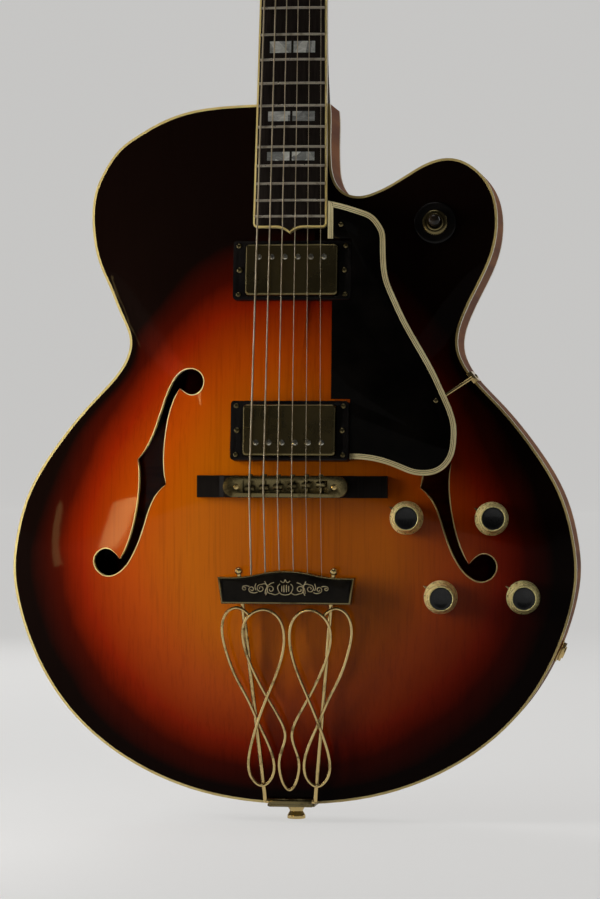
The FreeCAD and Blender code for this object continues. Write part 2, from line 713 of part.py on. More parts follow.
def make_pickups():
    """Rings, covers, coils and their screws."""
    rings = []
    covers = []
    coils = []
    poles = []
    for place, side in PICKUPS:
        screws = group(ring_screws(place) + height_screws(place))
        own_poles = pole_screws(place, side)
        outer = rounded_block(RING_LENGTH, RING_WIDTH, RING_STOCK, RING_CORNER, ORIGIN,
                              -RING_DROP - RING_STOCK)
        window = rounded_block(COVER_LENGTH + 2 * RING_CLEARANCE, COVER_WIDTH + 2 * RING_CLEARANCE,
                               2 * RING_STOCK, COVER_CORNER, ORIGIN, -2 * RING_STOCK)
        rings.append(below_top(placed(outer.cut(window), place)).cut(screws))
        shell = rounded_block(COVER_LENGTH, COVER_WIDTH, COVER_DEPTH, COVER_CORNER, ORIGIN, -COVER_DEPTH)
        top_edges = [e for e in shell.Edges if e.BoundBox.ZMin > -COVER_CORNER / 2]
        shell = shell.makeFillet(COVER_EDGE, top_edges)
        inside = rounded_block(COVER_LENGTH - 2 * COVER_WALL, COVER_WIDTH - 2 * COVER_WALL,
                               COVER_DEPTH - COVER_WALL, COVER_CORNER - COVER_WALL, ORIGIN, -COVER_DEPTH)
        covers.append(placed(shell.cut(inside), place).cut(group(own_poles)))
        spare = COVER_WALL + COIL_CLEARANCE
        coil = rounded_block(COVER_LENGTH - 2 * spare, COVER_WIDTH - 2 * spare, COVER_DEPTH - COVER_EDGE,
                             COVER_CORNER - spare, ORIGIN, -COVER_DEPTH)
        legs = block(-LEG_REACH, LEG_REACH, -LEG_WIDTH / 2, LEG_WIDTH / 2, -COVER_DEPTH - LEG_THICKNESS,
                     -COVER_DEPTH)
        coils.append(placed(fused([coil, legs]), place).cut(group(own_poles)).cut(screws))
        poles += own_poles
    keep("pickup_rings", group(rings))
    keep("pickup_covers", group(covers))
    keep("pickup_coils", group(coils))
    keep("pole_screws", group(poles))


def pickup_cuts():
    """Openings in the top under the pickups, with their screw holes."""
    cuts = []
    for place, _ in PICKUPS:
        deep = TOP_ARCH + OVERRUN
        well = rounded_block(COVER_LENGTH + 2 * CAVITY_CLEARANCE, COVER_WIDTH + 2 * CAVITY_CLEARANCE,
                             2 * deep, COVER_CORNER, ORIGIN, -deep)
        slot = block(-LEG_REACH - CAVITY_CLEARANCE, LEG_REACH + CAVITY_CLEARANCE,
                     -LEG_WIDTH / 2 - CAVITY_CLEARANCE, LEG_WIDTH / 2 + CAVITY_CLEARANCE, -deep, deep)
        cuts += [placed(well, place), placed(slot, place)] + ring_screws(place)
    return cuts


ARM_SCREWS = [placed(screw(0, 0, ARM_PAD_THICKNESS, RING_SCREW_RADIUS, ARM_SHANK_LENGTH),
                     ARM_SEAT.multiply(Placement(at(0, TOP_EDGE - ARM_PAD_HEIGHT / 2, 0), Rotation())))]


# Body
def make_body():
    """Plates, rims, linings, blocks and bindings."""
    control_holes = [placed(Part.makeCylinder(POT_BUSHING_RADIUS, 2 * OVERRUN, at(0, 0, -OVERRUN)), seat)
                     for seat in KNOB_SEATS]
    control_holes.append(placed(Part.makeCylinder(SWITCH_BUSHING_RADIUS, 2 * OVERRUN, at(0, 0, -OVERRUN)),
                                SWITCH_SEAT))
    board_face = slab(outline_wire(BINDING_WIDTH), RIM_TOP, TOP_EDGE)
    uncut = board_face.fuse(TOP_DOME).removeSplitter().cut(TOP_HOLLOW)
    keep("f_hole_bindings", group([strip.common(uncut) for strip in F_STRIPS]))
    keep("top_plate", uncut.cut(F_CUTS + pickup_cuts() + control_holes))
    back_face = slab(outline_wire(BINDING_WIDTH), -TOP_EDGE, -RIM_TOP)
    keep("back_plate", back_face.fuse(BACK_DOME).removeSplitter().cut(BACK_HOLLOW))
    wall = slab(outline_wire(0), -RIM_TOP, RIM_TOP).cut(slab(outline_wire(RIM_WALL), -RIM_TOP, RIM_TOP))
    wall = wall.cut([TENON, JACK_HOLE, END_PIN_SHANK] + ARM_SCREWS)
    keep("bass_rim", wall.common(block(-LOWER_BOUT, 0, -OVERRUN, BODY_LENGTH + OVERRUN, -TOP_EDGE, TOP_EDGE)))
    keep("treble_rim", wall.common(block(0, LOWER_BOUT, -OVERRUN, BODY_LENGTH + OVERRUN, -TOP_EDGE,
                                         TOP_EDGE)))
    inside = slab(outline_wire(RIM_WALL), -RIM_TOP, RIM_TOP)
    neck_block = block(-NECK_BLOCK_WIDTH / 2, NECK_BLOCK_WIDTH / 2,
                       BODY_LENGTH - RIM_WALL - NECK_BLOCK_LENGTH,
                       BODY_LENGTH, -RIM_TOP, RIM_TOP).common(inside)
    tail_block = block(-TAIL_BLOCK_WIDTH / 2, TAIL_BLOCK_WIDTH / 2, 0, RIM_WALL + TAIL_BLOCK_LENGTH,
                       -RIM_TOP, RIM_TOP).common(inside)
    hollow = slab(outline_wire(RIM_WALL + LINING_WIDTH), -RIM_TOP, RIM_TOP)
    liners = []
    for foot in (RIM_TOP - LINING_HEIGHT, -RIM_TOP):
        band = slab(outline_wire(RIM_WALL), foot, foot + LINING_HEIGHT).cut(hollow)
        liners.append(band.cut([neck_block, tail_block, JACK_HOLE] + ARM_SCREWS))
    keep("linings", group(liners))
    keep("end_blocks", group([neck_block.cut(TENON), tail_block.cut(END_PIN_SHANK)]))
    lower = TOP_HOLLOW.copy()
    lower.translate(at(0, 0, -TONE_BAR_HEIGHT))
    skin = TOP_HOLLOW.cut(lower)
    bars = []
    for x in (-TONE_BAR_SPREAD / 2, TONE_BAR_SPREAD / 2):
        strip = block(x - TONE_BAR_WIDTH / 2, x + TONE_BAR_WIDTH / 2, ARCH_CENTRE.y - TONE_BAR_LENGTH / 2,
                      ARCH_CENTRE.y + TONE_BAR_LENGTH / 2, RIM_TOP, TOP_EDGE + TOP_ARCH)
        bars.append(skin.common(strip))
    keep("tone_bars", group(bars))
    bands = []
    for foot in (RIM_TOP, -TOP_EDGE):
        strip = slab(outline_wire(0), foot, foot + PLATE_EDGE)
        bands.append(strip.cut(slab(outline_wire(BINDING_WIDTH), foot, foot + PLATE_EDGE)))
    keep("body_bindings", group(bands))


# Neck
def neck_section(along, depth, bluntness):
    """A closed half-round section of the neck, flat side up."""
    half = board_half_width(along, 0)
    points = []
    for step in range(SECTION_POINTS):
        turn = math.pi * step / (SECTION_POINTS - 1)
        across = math.copysign(abs(math.cos(turn)) ** (2 / bluntness), math.cos(turn))
        points.append(at(half * across, along, -depth * abs(math.sin(turn)) ** (2 / bluntness)))
    return Part.Wire([through(points), Part.LineSegment(points[-1], points[0]).toShape()])


def head_wire():
    """The head's outline in its own plane, from the nut to the crown."""
    side = HEAD_LENGTH - HEAD_CROWN
    right = [at(width * HEAD_WIDTH / 2, along * side, 0) for along, width in HEAD_SHARES]
    left = [at(-p.x, p.y, 0) for p in right[::-1]]
    crown = Part.Arc(right[-1], at(0, HEAD_LENGTH, 0), left[0]).toShape()
    foot = Part.LineSegment(left[-1], right[0]).toShape()
    return Part.Wire([through(right), crown, through(left), foot])


def head_board(z0, z1):
    """A layer of the head with its crown corners rounded."""
    layer = slab(head_wire(), z0, z1)
    corners = [e for e in layer.Edges if e.BoundBox.ZLength > (z1 - z0) / 2
               and e.BoundBox.YMin > HEAD_LENGTH - HEAD_CROWN - HEAD_CORNER]
    return layer.makeFillet(HEAD_CORNER, corners)


def tuner_places():
    """Frames of the six machines, z out of the head's face, x towards the button."""
    places = []
    for side in (-1, 1):
        for row in range(STRING_COUNT // 2):
            base = at(side * (TUNER_OFFSET + row * TUNER_FLARE), TUNER_FIRST + row * TUNER_SPACING, 0)
            turn = Rotation(Z_AXIS, 0 if side > 0 else 180)
            places.append(HEAD_PLACE.multiply(Placement(base, turn)))
    return places[:STRING_COUNT // 2] + places[:STRING_COUNT // 2 - 1:-1]


TUNERS = tuner_places()
POST_BORES = [placed(Part.makeCylinder(BUSHING_RADIUS, HEAD_THICKNESS + VENEER_THICKNESS,
                                       at(0, 0, -HEAD_THICKNESS)), t)
              for t in TUNERS]
TRUSS_PLACE = at(0, 0, -TRUSS_ROD_DEPTH)
TRUSS_ROD = fused([
    Part.makeCylinder(TRUSS_ROD_RADIUS, TRUSS_ROD_LENGTH,
                      TRUSS_PLACE + at(0, FREE_LENGTH + NUT_LENGTH - TRUSS_ROD_LENGTH, 0),
                      at(0, 1, 0)),
    Part.makeCylinder(TRUSS_NUT_RADIUS, TRUSS_NUT_LENGTH, TRUSS_PLACE + at(0, FREE_LENGTH + NUT_LENGTH, 0),
                      at(0, 1, 0)),
])
TRUSS_ROD = placed(TRUSS_ROD, NECK_PLACE)
TRUSS_POCKET = placed(block(-TRUSS_POCKET_WIDTH / 2, TRUSS_POCKET_WIDTH / 2, 0, TRUSS_POCKET_LENGTH,
                            -HEAD_THICKNESS + TRUSS_COVER_THICKNESS, VENEER_THICKNESS), HEAD_PLACE)
COVER_SCREW_PLACES = (
    (COVER_SCREW_INSET - TRUSS_COVER_WIDTH / 2, TRUSS_COVER_GAP + COVER_SCREW_INSET),
    (TRUSS_COVER_WIDTH / 2 - COVER_SCREW_INSET, TRUSS_COVER_GAP + COVER_SCREW_INSET),
    (0, TRUSS_COVER_GAP + TRUSS_COVER_LENGTH - COVER_SCREW_INSET),
)
HEAD_SCREWS = [placed(screw(x, y, VENEER_THICKNESS + TRUSS_COVER_THICKNESS, RING_SCREW_RADIUS,
                            COVER_SCREW_SHANK), HEAD_PLACE)
               for x, y in COVER_SCREW_PLACES]


def make_neck():
    """Shaft with heel, head and tenon, the head's facing, the heel's cap and the truss rod."""
    sections = [neck_section(share * HEEL_LENGTH, depth * HEEL_DEPTH, blunt)
                for share, depth, blunt in HEEL_SHARES]
    blunt = HEEL_SHARES[-1][2]
    taper = [sections[-1], neck_section(SHAFT_END_SHARE * FREE_LENGTH, SHAFT_DEPTH_NUT, blunt)]
    shaft = fused([Part.makeLoft(sections, True, False), Part.makeLoft(taper, True, True)])
    shaft = placed(shaft, NECK_PLACE)
    cap_z = HEEL_CAP_THICKNESS - TOP_EDGE
    behind = block(-LOWER_BOUT, LOWER_BOUT, 0, BODY_LENGTH, -LOWER_BOUT, LOWER_BOUT)
    shaft = shaft.cut(behind)
    under = block(-LOWER_BOUT, LOWER_BOUT, 0, BODY_LENGTH + HEEL_LENGTH, -LOWER_BOUT, cap_z)
    cap_slab = block(-LOWER_BOUT, LOWER_BOUT, BODY_LENGTH, BODY_LENGTH + HEEL_LENGTH, -TOP_EDGE, cap_z)
    keep("heel_cap", shaft.common(cap_slab).cut(HEEL_BUTTON_SHANK))
    corners = [at(sign * board_half_width(along, BOARD_BINDING_WIDTH), along, 0)
               for along, sign in ((-EXTENSION_LENGTH, -1), (-EXTENSION_LENGTH, 1), (HEEL_LENGTH / 2, 1),
                                   (HEEL_LENGTH / 2, -1))]
    rest = slab(Part.makePolygon(corners + corners[:1]), -EXTENSION_DEPTH, 0)
    rest = below_top(placed(rest, NECK_PLACE))
    head = placed(head_board(-HEAD_THICKNESS, 0), HEAD_PLACE)
    neck = fused([shaft.cut(under), rest, TENON, head])
    neck = neck.cut(POST_BORES + [TRUSS_ROD, TRUSS_POCKET, HEEL_BUTTON_SHANK] + HEAD_SCREWS)
    keep("neck", neck)
    keep("truss_rod", TRUSS_ROD)
    veneer = placed(head_board(0, VENEER_THICKNESS), HEAD_PLACE)
    keep("headstock_veneer", veneer.cut(POST_BORES + [TRUSS_POCKET] + HEAD_SCREWS))
    half = TRUSS_COVER_WIDTH / 2
    bell = [at(-half, 0, 0), at(half, 0, 0), at(half * COVER_WAIST_SHARE, TRUSS_COVER_LENGTH / 2, 0)]
    tip = at(0, TRUSS_COVER_LENGTH, 0)
    left_waist = at(-bell[2].x, bell[2].y, 0)
    edge = [Part.LineSegment(bell[0], bell[1]).toShape(), Part.LineSegment(bell[1], bell[2]).toShape(),
            Part.Arc(bell[2], tip, left_waist).toShape(), Part.LineSegment(left_waist, bell[0]).toShape()]
    plate = slab(Part.Wire(edge), VENEER_THICKNESS, VENEER_THICKNESS + TRUSS_COVER_THICKNESS)
    plate.translate(at(0, TRUSS_COVER_GAP, 0))
    keep("truss_rod_cover", placed(plate, HEAD_PLACE).cut(HEAD_SCREWS))


def board_wire(inset):
    """The fingerboard's outline in the neck's frame, with a shallow point at its body end."""
    end = inset - BOARD_TAIL
    half_nut = board_half_width(FREE_LENGTH, inset)
    half_end = board_half_width(-BOARD_TAIL, inset)
    corner = BOARD_CORNER - inset
    turn_in = corner * (1 - math.sqrt(1 / 2))
    half_corner = board_half_width(end + corner, inset)
    point_half = BOARD_POINT_WIDTH / 2
    tip = at(0, end - BOARD_POINT, 0)
    right = [at(half_nut, FREE_LENGTH, 0), at(half_corner, end + corner, 0), at(half_end - corner, end, 0),
             at(point_half, end, 0)]
    mids = [at(half_corner - turn_in, end + turn_in, 0), at(point_half / 2, end - BOARD_POINT / 4, 0)]

    def flip(p):
        return at(-p.x, p.y, 0)

    edges = [Part.LineSegment(right[0], right[1]).toShape(), Part.Arc(right[1], mids[0], right[2]).toShape(),
             Part.LineSegment(right[2], right[3]).toShape(), Part.Arc(right[3], mids[1], tip).toShape(),
             Part.Arc(tip, flip(mids[1]), flip(right[3])).toShape(),
             Part.LineSegment(flip(right[3]), flip(right[2])).toShape(),
             Part.Arc(flip(right[2]), flip(mids[0]), flip(right[1])).toShape(),
             Part.LineSegment(flip(right[1]), flip(right[0])).toShape(),
             Part.LineSegment(flip(right[0]), right[0]).toShape()]
    return Part.Wire(edges)


def make_fingerboard():
    """Board, its binding, frets, pearl blocks and the nut."""
    drum = Part.makeCylinder(BOARD_RADIUS, FREE_LENGTH + BOARD_TAIL + 2 * OVERRUN,
                             at(0, -BOARD_TAIL - OVERRUN, BOARD_THICKNESS - BOARD_RADIUS), at(0, 1, 0))
    inner = slab(board_wire(BOARD_BINDING_WIDTH), 0, BOARD_THICKNESS)
    outer = slab(board_wire(0), 0, BOARD_THICKNESS)
    pearls = []
    for number in INLAY_FRETS:
        low = fret_place(number)
        high = fret_place(number - 1)
        middle = (low + high) / 2
        reach = (high - low) * INLAY_LENGTH_SHARE / 2
        wide = board_half_width(middle, 0) * INLAY_WIDTH_SHARE
        for x0, x1 in ((-wide, -INLAY_GAP / 2), (INLAY_GAP / 2, wide)):
            pearls.append(block(x0, x1, middle - reach, middle + reach, BOARD_THICKNESS - INLAY_DEPTH,
                                BOARD_THICKNESS).common(drum))
    frets = []
    for number in range(1, FRET_COUNT + 1):
        along = fret_place(number)
        half = board_half_width(along, BOARD_BINDING_WIDTH)
        left_foot = at(0, along - FRET_WIDTH / 2, BOARD_THICKNESS)
        right_foot = at(0, along + FRET_WIDTH / 2, BOARD_THICKNESS)
        crown = Part.Arc(left_foot, at(0, along, BOARD_THICKNESS + FRET_HEIGHT), right_foot).toShape()
        profile = Part.Face(Part.Wire([crown, Part.LineSegment(right_foot, left_foot).toShape()]))
        centre = at(0, along, BOARD_THICKNESS - BOARD_RADIUS)
        swing = math.degrees(math.asin(half / BOARD_RADIUS))
        profile.rotate(centre, at(0, 1, 0), -swing)
        frets.append(profile.revolve(centre, at(0, 1, 0), 2 * swing))
    keep("fingerboard", placed(inner.common(drum).cut(group(pearls)), NECK_PLACE))
    keep("fingerboard_binding", placed(outer.cut(inner).common(drum), NECK_PLACE))
    keep("position_inlays", placed(group(pearls), NECK_PLACE))
    keep("frets", placed(group(frets), NECK_PLACE))
    nut = block(-NUT_WIDTH / 2, NUT_WIDTH / 2, FREE_LENGTH, FREE_LENGTH + NUT_LENGTH, 0,
                BOARD_THICKNESS + NUT_RISE)
    for index, diameter in enumerate(STRING_DIAMETERS):
        x = string_x(index, STRING_SPAN_NUT)
        foot = nut_string(index).z - diameter / 2
        nut = nut.cut(block(x - diameter / 2 - WINDING_CLEARANCE, x + diameter / 2 + WINDING_CLEARANCE,
                            FREE_LENGTH, FREE_LENGTH + NUT_LENGTH, foot, BOARD_THICKNESS + NUT_RISE))
    keep("nut", placed(nut, NECK_PLACE))


# Strings
def sag(x):
    """Drop of the fingerboard's round at a distance from its middle."""
    return x * x / (2 * BOARD_RADIUS)


def nut_string(index):
    """Centre of a string where it leaves the nut, in the neck's frame."""
    x = string_x(index, STRING_SPAN_NUT)
    return at(x, FREE_LENGTH, BOARD_THICKNESS + STRING_LIFT_NUT - sag(x) + STRING_DIAMETERS[index] / 2)


def saddle_string(index):
    """Centre of a string on its saddle."""
    x = string_x(index, STRING_SPAN_BRIDGE)
    shift = (index / (STRING_COUNT - 1) - 1 / 2) * SADDLE_SHIFT
    return at(x, BRIDGE_HEIGHT + shift, STRING_Z - sag(x) + STRING_DIAMETERS[index] / 2)


def bar_edge(x):
    """Distance of the tail bar's upper edge from the tail: flat ends, two hollows and a crest."""
    shoulder = BAR_BOTTOM + BAR_HEIGHT
    inward = max(0, BAR_SWELL - abs(x))
    if inward < BAR_SWELL / 2:
        return shoulder + SWELL_RADIUS - math.sqrt(SWELL_RADIUS ** 2 - inward ** 2)
    return shoulder + BAR_CREST - SWELL_RADIUS + math.sqrt(SWELL_RADIUS ** 2 - x ** 2)


def bar_string(index):
    """Centre of a string where it ends in the tail bar."""
    x = string_x(index, STRING_SPAN_BRIDGE)
    return at(x, bar_edge(x) - STRING_SEAT_DEPTH, BAR_Z)


def winding_radius(index):
    """Radius of the middle of a string's turns round its post."""
    return POST_RADIUS + WINDING_CLEARANCE + STRING_DIAMETERS[index] / 2


def facet_tube(points, radius):
    """A many-sided bar along a run of points, mitred at its bends."""
    runs = [(after - before).normalize() for before, after in zip(points, points[1:])]
    turn = Rotation(Z_AXIS, runs[0])
    corners = []
    for step in range(STRING_SIDES):
        angle = 2 * math.pi * step / STRING_SIDES
        corners.append(points[0] + turn.multVec(at(radius * math.cos(angle), radius * math.sin(angle), 0)))
    rings = [corners]
    for number, run in enumerate(runs):
        end = points[number + 1]
        across = run + runs[number + 1] if number + 1 < len(runs) else run
        rings.append([c + run * ((end - c).dot(across) / run.dot(across)) for c in rings[-1]])
    faces = [Part.Face(Part.makePolygon(row + row[:1])) for row in (rings[0], rings[-1])]
    for near, far in zip(rings, rings[1:]):
        for i in range(STRING_SIDES):
            faces.append(Part.Face(Part.makePolygon([near[i - 1], near[i], far[i], far[i - 1], near[i - 1]])))
    return Part.makeSolid(Part.makeShell(faces))


def post_start(index):
    """Where a string meets its turns, in its machine's frame, on the side of the centre line."""
    return at(-winding_radius(index), 0, WINDING_LIFT)


def winding_points(index):
    """Points along a string's turns at every eighth of a turn, in its machine's frame."""
    radius = winding_radius(index)
    pitch = STRING_DIAMETERS[index] + WINDING_GAP
    start = math.pi
    points = []
    for step in range(WINDING_STEPS * WINDING_TURNS + 1):
        share = step / WINDING_STEPS
        angle = start + TURN_WAY[index] * 2 * math.pi * share
        points.append(at(radius * math.cos(angle), radius * math.sin(angle), WINDING_LIFT - pitch * share))
    return points


def make_strings():
    """Six strings from the tail bar to the posts, and their turns round the posts."""
    strings = []
    turns = []
    least_gap = OVERRUN
    for index, diameter in enumerate(STRING_DIAMETERS):
        front = nut_string(index)
        rear = front + at(0, NUT_LENGTH, 0)
        path = [bar_string(index), saddle_string(index), NECK_PLACE.multVec(front), NECK_PLACE.multVec(rear),
                TUNERS[index].multVec(post_start(index))]
        strings.append(facet_tube(path, diameter / 2))
        points = winding_points(index)
        arcs = [Part.Arc(*points[i:i + 3]).toShape() for i in range(0, len(points) - 1, 2)]
        start = points[0]
        along = at(0, -TURN_WAY[index], 0)
        profile = Part.Wire(Part.makeCircle(diameter / 2, start, along))
        turns.append(placed(Part.Wire(arcs).makePipeShell([profile], True, False), TUNERS[index]))
        for i, here in enumerate(points):
            for there in points[i + WINDING_STEPS // 2:]:
                least_gap = min(least_gap, (there - here).Length - diameter)
    keep("strings", group(strings))
    keep("string_windings", group(turns))
    print("least gap between turns of string: %.2f" % least_gap)


# Tuning machines, each in its own frame
def worm_thread():
    """The thread of a worm along x, with a gap facing the wheel at x zero."""
    root = WORM_PITCH_RADIUS - WORM_DEDENDUM
    tip = WORM_PITCH_RADIUS + WORM_ADDENDUM
    half_root = WORM_PITCH * TOOTH_FILL_SHARE * ROOT_SHARE / 2
    half_tip = WORM_PITCH * TOOTH_FILL_SHARE * TIP_SHARE / 2
    bury = WORM_DEDENDUM / 2
    helix = Part.makeHelix(WORM_PITCH, WORM_PITCH * WORM_TURNS, root)
    corners = [at(root - bury, 0, -half_root), at(tip, 0, -half_tip), at(tip, 0, half_tip),
               at(root - bury, 0, half_root)]
    profile = Part.makePolygon(corners + corners[:1])
    thread = Part.Wire(helix).makePipeShell([profile], True, True)
    thread.translate(at(0, 0, -WORM_PITCH * WORM_TURNS / 2))
    thread.rotate(ORIGIN, at(1, 1, 1), 120)
    return thread


def worm_wheel():
    """A toothed wheel about z, with a tooth facing the worm."""
    root = GEAR_PITCH_RADIUS - WORM_DEDENDUM
    tip = GEAR_PITCH_RADIUS + WORM_ADDENDUM
    half_root = WORM_PITCH * TOOTH_FILL_SHARE * ROOT_SHARE / 2
    half_tip = WORM_PITCH * TOOTH_FILL_SHARE * TIP_SHARE / 2
    corners = []
    for tooth in range(GEAR_TEETH):
        turn = Rotation(Z_AXIS, -90 + 360 * tooth / GEAR_TEETH)
        for x, y in ((root, -half_root), (tip, -half_tip), (tip, half_tip), (root, half_root)):
            corners.append(turn.multVec(at(x, y, 0)))
    return slab(Part.makePolygon(corners + corners[:1]), GEAR_Z - GEAR_THICKNESS / 2,
                GEAR_Z + GEAR_THICKNESS / 2)


def make_tuners():
    """Housings with bushings, posts with wheels, and buttons with worms."""
    bore = POST_RADIUS + RUN_CLEARANCE
    sleeve = ring(BUSHING_RADIUS, bore, at(0, 0, VENEER_THICKNESS - BUSHING_LENGTH), Z_AXIS, BUSHING_LENGTH)
    flange = ring(BUSHING_FLANGE_RADIUS, bore, at(0, 0, VENEER_THICKNESS), Z_AXIS, BUSHING_FLANGE_THICKNESS)
    bushing = fused([sleeve, flange])
    back = -HEAD_THICKNESS
    floor = back - HOUSING_DEPTH
    middle = at(0, -HOUSING_SHIFT, 0)
    box = rounded_block(HOUSING_LENGTH, HOUSING_WIDTH, HOUSING_DEPTH, HOUSING_CORNER, middle, floor)
    box = box.makeFillet(HOUSING_CORNER / 2,
                         [e for e in box.Edges if e.BoundBox.ZMax < floor + HOUSING_WALL / 2])
    room = rounded_block(HOUSING_LENGTH - 2 * HOUSING_WALL, HOUSING_WIDTH - 2 * HOUSING_WALL,
                         HOUSING_DEPTH - HOUSING_WALL, HOUSING_CORNER - HOUSING_WALL / 2, middle,
                         floor + HOUSING_WALL)
    shaft_hole = Part.makeCylinder(BUTTON_SHAFT_RADIUS + RUN_CLEARANCE, HOUSING_LENGTH,
                                   at(-HOUSING_LENGTH / 2 + HOUSING_WALL / 2, -WORM_DISTANCE, GEAR_Z),
                                   at(1, 0, 0))
    housing = box.cut(room).cut(shaft_hole)
    keep("tuner_housings", group([placed(piece, t) for t in TUNERS for piece in (housing, bushing)]))
    stem = Part.makeCylinder(POST_RADIUS, POST_TOP - GEAR_Z + GEAR_THICKNESS / 2,
                             at(0, 0, GEAR_Z - GEAR_THICKNESS / 2))
    stem = stem.makeChamfer(POST_CHAMFER,
                            [e for e in stem.Edges if e.BoundBox.ZMin > POST_TOP - POST_CHAMFER])
    eye = Part.makeCylinder(POST_HOLE_RADIUS, 2 * POST_RADIUS,
                            at(-POST_RADIUS, 0, WINDING_LIFT + POST_EYE_RISE), at(1, 0, 0))
    post = fused([stem.cut(eye), worm_wheel()])
    inner_end = -HOUSING_LENGTH / 2 + HOUSING_WALL / 2 + RUN_CLEARANCE
    shank = Part.makeCylinder(BUTTON_SHAFT_RADIUS, BUTTON_REACH - inner_end, at(inner_end, 0, 0), at(1, 0, 0))
    collar = Part.makeCylinder(COLLAR_RADIUS, BUTTON_REACH - HOUSING_LENGTH / 2 - COLLAR_GAP,
                               at(HOUSING_LENGTH / 2 + COLLAR_GAP, 0, 0), at(1, 0, 0))
    grip = rounded_block(BUTTON_LENGTH, BUTTON_WIDTH, BUTTON_THICKNESS, BUTTON_CORNER * 2,
                         at(BUTTON_REACH + BUTTON_LENGTH / 2, 0, 0), -BUTTON_THICKNESS / 2)
    grip = grip.makeFillet(BUTTON_CORNER,
                           [e for e in grip.Edges if e.BoundBox.ZLength < BUTTON_THICKNESS / 2])
    key = fused([shank, worm_thread(), collar, grip])
    key.translate(at(0, -WORM_DISTANCE, GEAR_Z))
    for number, t in enumerate(TUNERS, 1):
        keep("tuner_post_%d" % number, placed(post, t))
        keep("tuner_button_%d" % number, placed(key, t))


# Bridge
def make_bridge():
    """Wooden base, metal bridge on two posts, and six saddles with their screws."""
    crown = top_z(0, BRIDGE_HEIGHT)
    base_top = crown + BRIDGE_BASE_RISE
    tail_top = crown + BRIDGE_TAIL_RISE
    half = BRIDGE_BASE_LENGTH / 2
    step = BRIDGE_STEP_WIDTH / 2
    front = BRIDGE_HEIGHT - BRIDGE_BASE_WIDTH / 2
    right = [(half, TOP_EDGE), (half, tail_top), (step + BRIDGE_STEP_SLOPE, tail_top), (step, base_top)]
    corners = [at(x, front, z) for x, z in right] + [at(-x, front, z) for x, z in right[::-1]]
    base = Part.Face(Part.makePolygon(corners + corners[:1])).extrude(at(0, BRIDGE_BASE_WIDTH, 0))
    base.translate(at(BRIDGE_BASE_OFFSET, 0, 0))
    body_top = STRING_Z - SADDLE_CLEARANCE - sag(STRING_SPAN_BRIDGE / 2)
    body_z = body_top - BRIDGE_BODY_HEIGHT
    wheel_z = body_z - THUMBWHEEL_HEIGHT
    posts = []
    wheels = []
    for x in (-BRIDGE_POST_SPAN / 2, BRIDGE_POST_SPAN / 2):
        posts.append(rod(at(x, BRIDGE_HEIGHT, base_top - BRIDGE_POST_DEPTH), at(x, BRIDGE_HEIGHT, body_top),
                         BRIDGE_POST_RADIUS))
        wheels.append(ring(THUMBWHEEL_RADIUS, BRIDGE_POST_RADIUS, at(x, BRIDGE_HEIGHT, wheel_z), Z_AXIS,
                           THUMBWHEEL_HEIGHT))
    keep("bridge_base", below_top(base).cut(group(posts)))
    keep("bridge_thumbwheels", group(posts + wheels))
    half_width = BRIDGE_BODY_WIDTH / 2
    straight = BRIDGE_BODY_LENGTH / 2 - half_width
    body = fused([block(-straight, straight, BRIDGE_HEIGHT - half_width, BRIDGE_HEIGHT + half_width, body_z,
                        body_top)]
                 + [Part.makeCylinder(half_width, BRIDGE_BODY_HEIGHT, at(x, BRIDGE_HEIGHT, body_z))
                    for x in (-straight, straight)])
    rail = half_width - BRIDGE_RIM
    trough = block(-TROUGH_LENGTH / 2, TROUGH_LENGTH / 2, BRIDGE_HEIGHT - rail, BRIDGE_HEIGHT + rail,
                   body_z + BRIDGE_FLOOR, body_top)
    saddles = []
    screws = []
    for index, diameter in enumerate(STRING_DIAMETERS):
        place = saddle_string(index)
        ridge = place.z - diameter / 2
        floor = body_z + BRIDGE_FLOOR
        shoulder = floor + (ridge - floor) * SADDLE_SHOULDER_SHARE
        half_saddle = SADDLE_LENGTH / 2
        outline = [(-half_saddle, floor), (half_saddle, floor), (half_saddle, shoulder), (0, ridge),
                   (-half_saddle, shoulder)]
        x = place.x - SADDLE_WIDTH / 2
        profile = [at(x, place.y + y, z) for y, z in outline]
        saddle = Part.Face(Part.makePolygon(profile + profile[:1])).extrude(at(SADDLE_WIDTH, 0, 0))
        axis_z = floor + SADDLE_SCREW_LIFT
        far = BRIDGE_HEIGHT - rail + COLLAR_GAP
        near = BRIDGE_HEIGHT + half_width
        pin = fused([rod(at(place.x, far, axis_z), at(place.x, near, axis_z), SADDLE_SCREW_RADIUS),
                     rod(at(place.x, near, axis_z), at(place.x, near + SADDLE_HEAD_LENGTH, axis_z),
                         SADDLE_HEAD_RADIUS)])
        saddles.append(saddle.cut(pin))
        screws.append(pin)
    keep("bridge_body", body.cut([trough] + posts + screws))
    keep("bridge_saddles", group(saddles + screws))


# Tailpiece
ROD_FEET = at(0, HINGE_FORWARD, TOP_EDGE + HINGE_HEIGHT)
ROD_SLOPE = math.degrees(math.atan2(BAR_Z - ROD_FEET.z, BAR_BOTTOM + BAR_HEIGHT / 2 - ROD_FEET.y))
TAIL_PLACE = Placement(ROD_FEET, Rotation(Vector(1, 0, 0), ROD_SLOPE))
TAIL_RUN = (BAR_BOTTOM - ROD_FEET.y) / math.cos(math.radians(ROD_SLOPE))


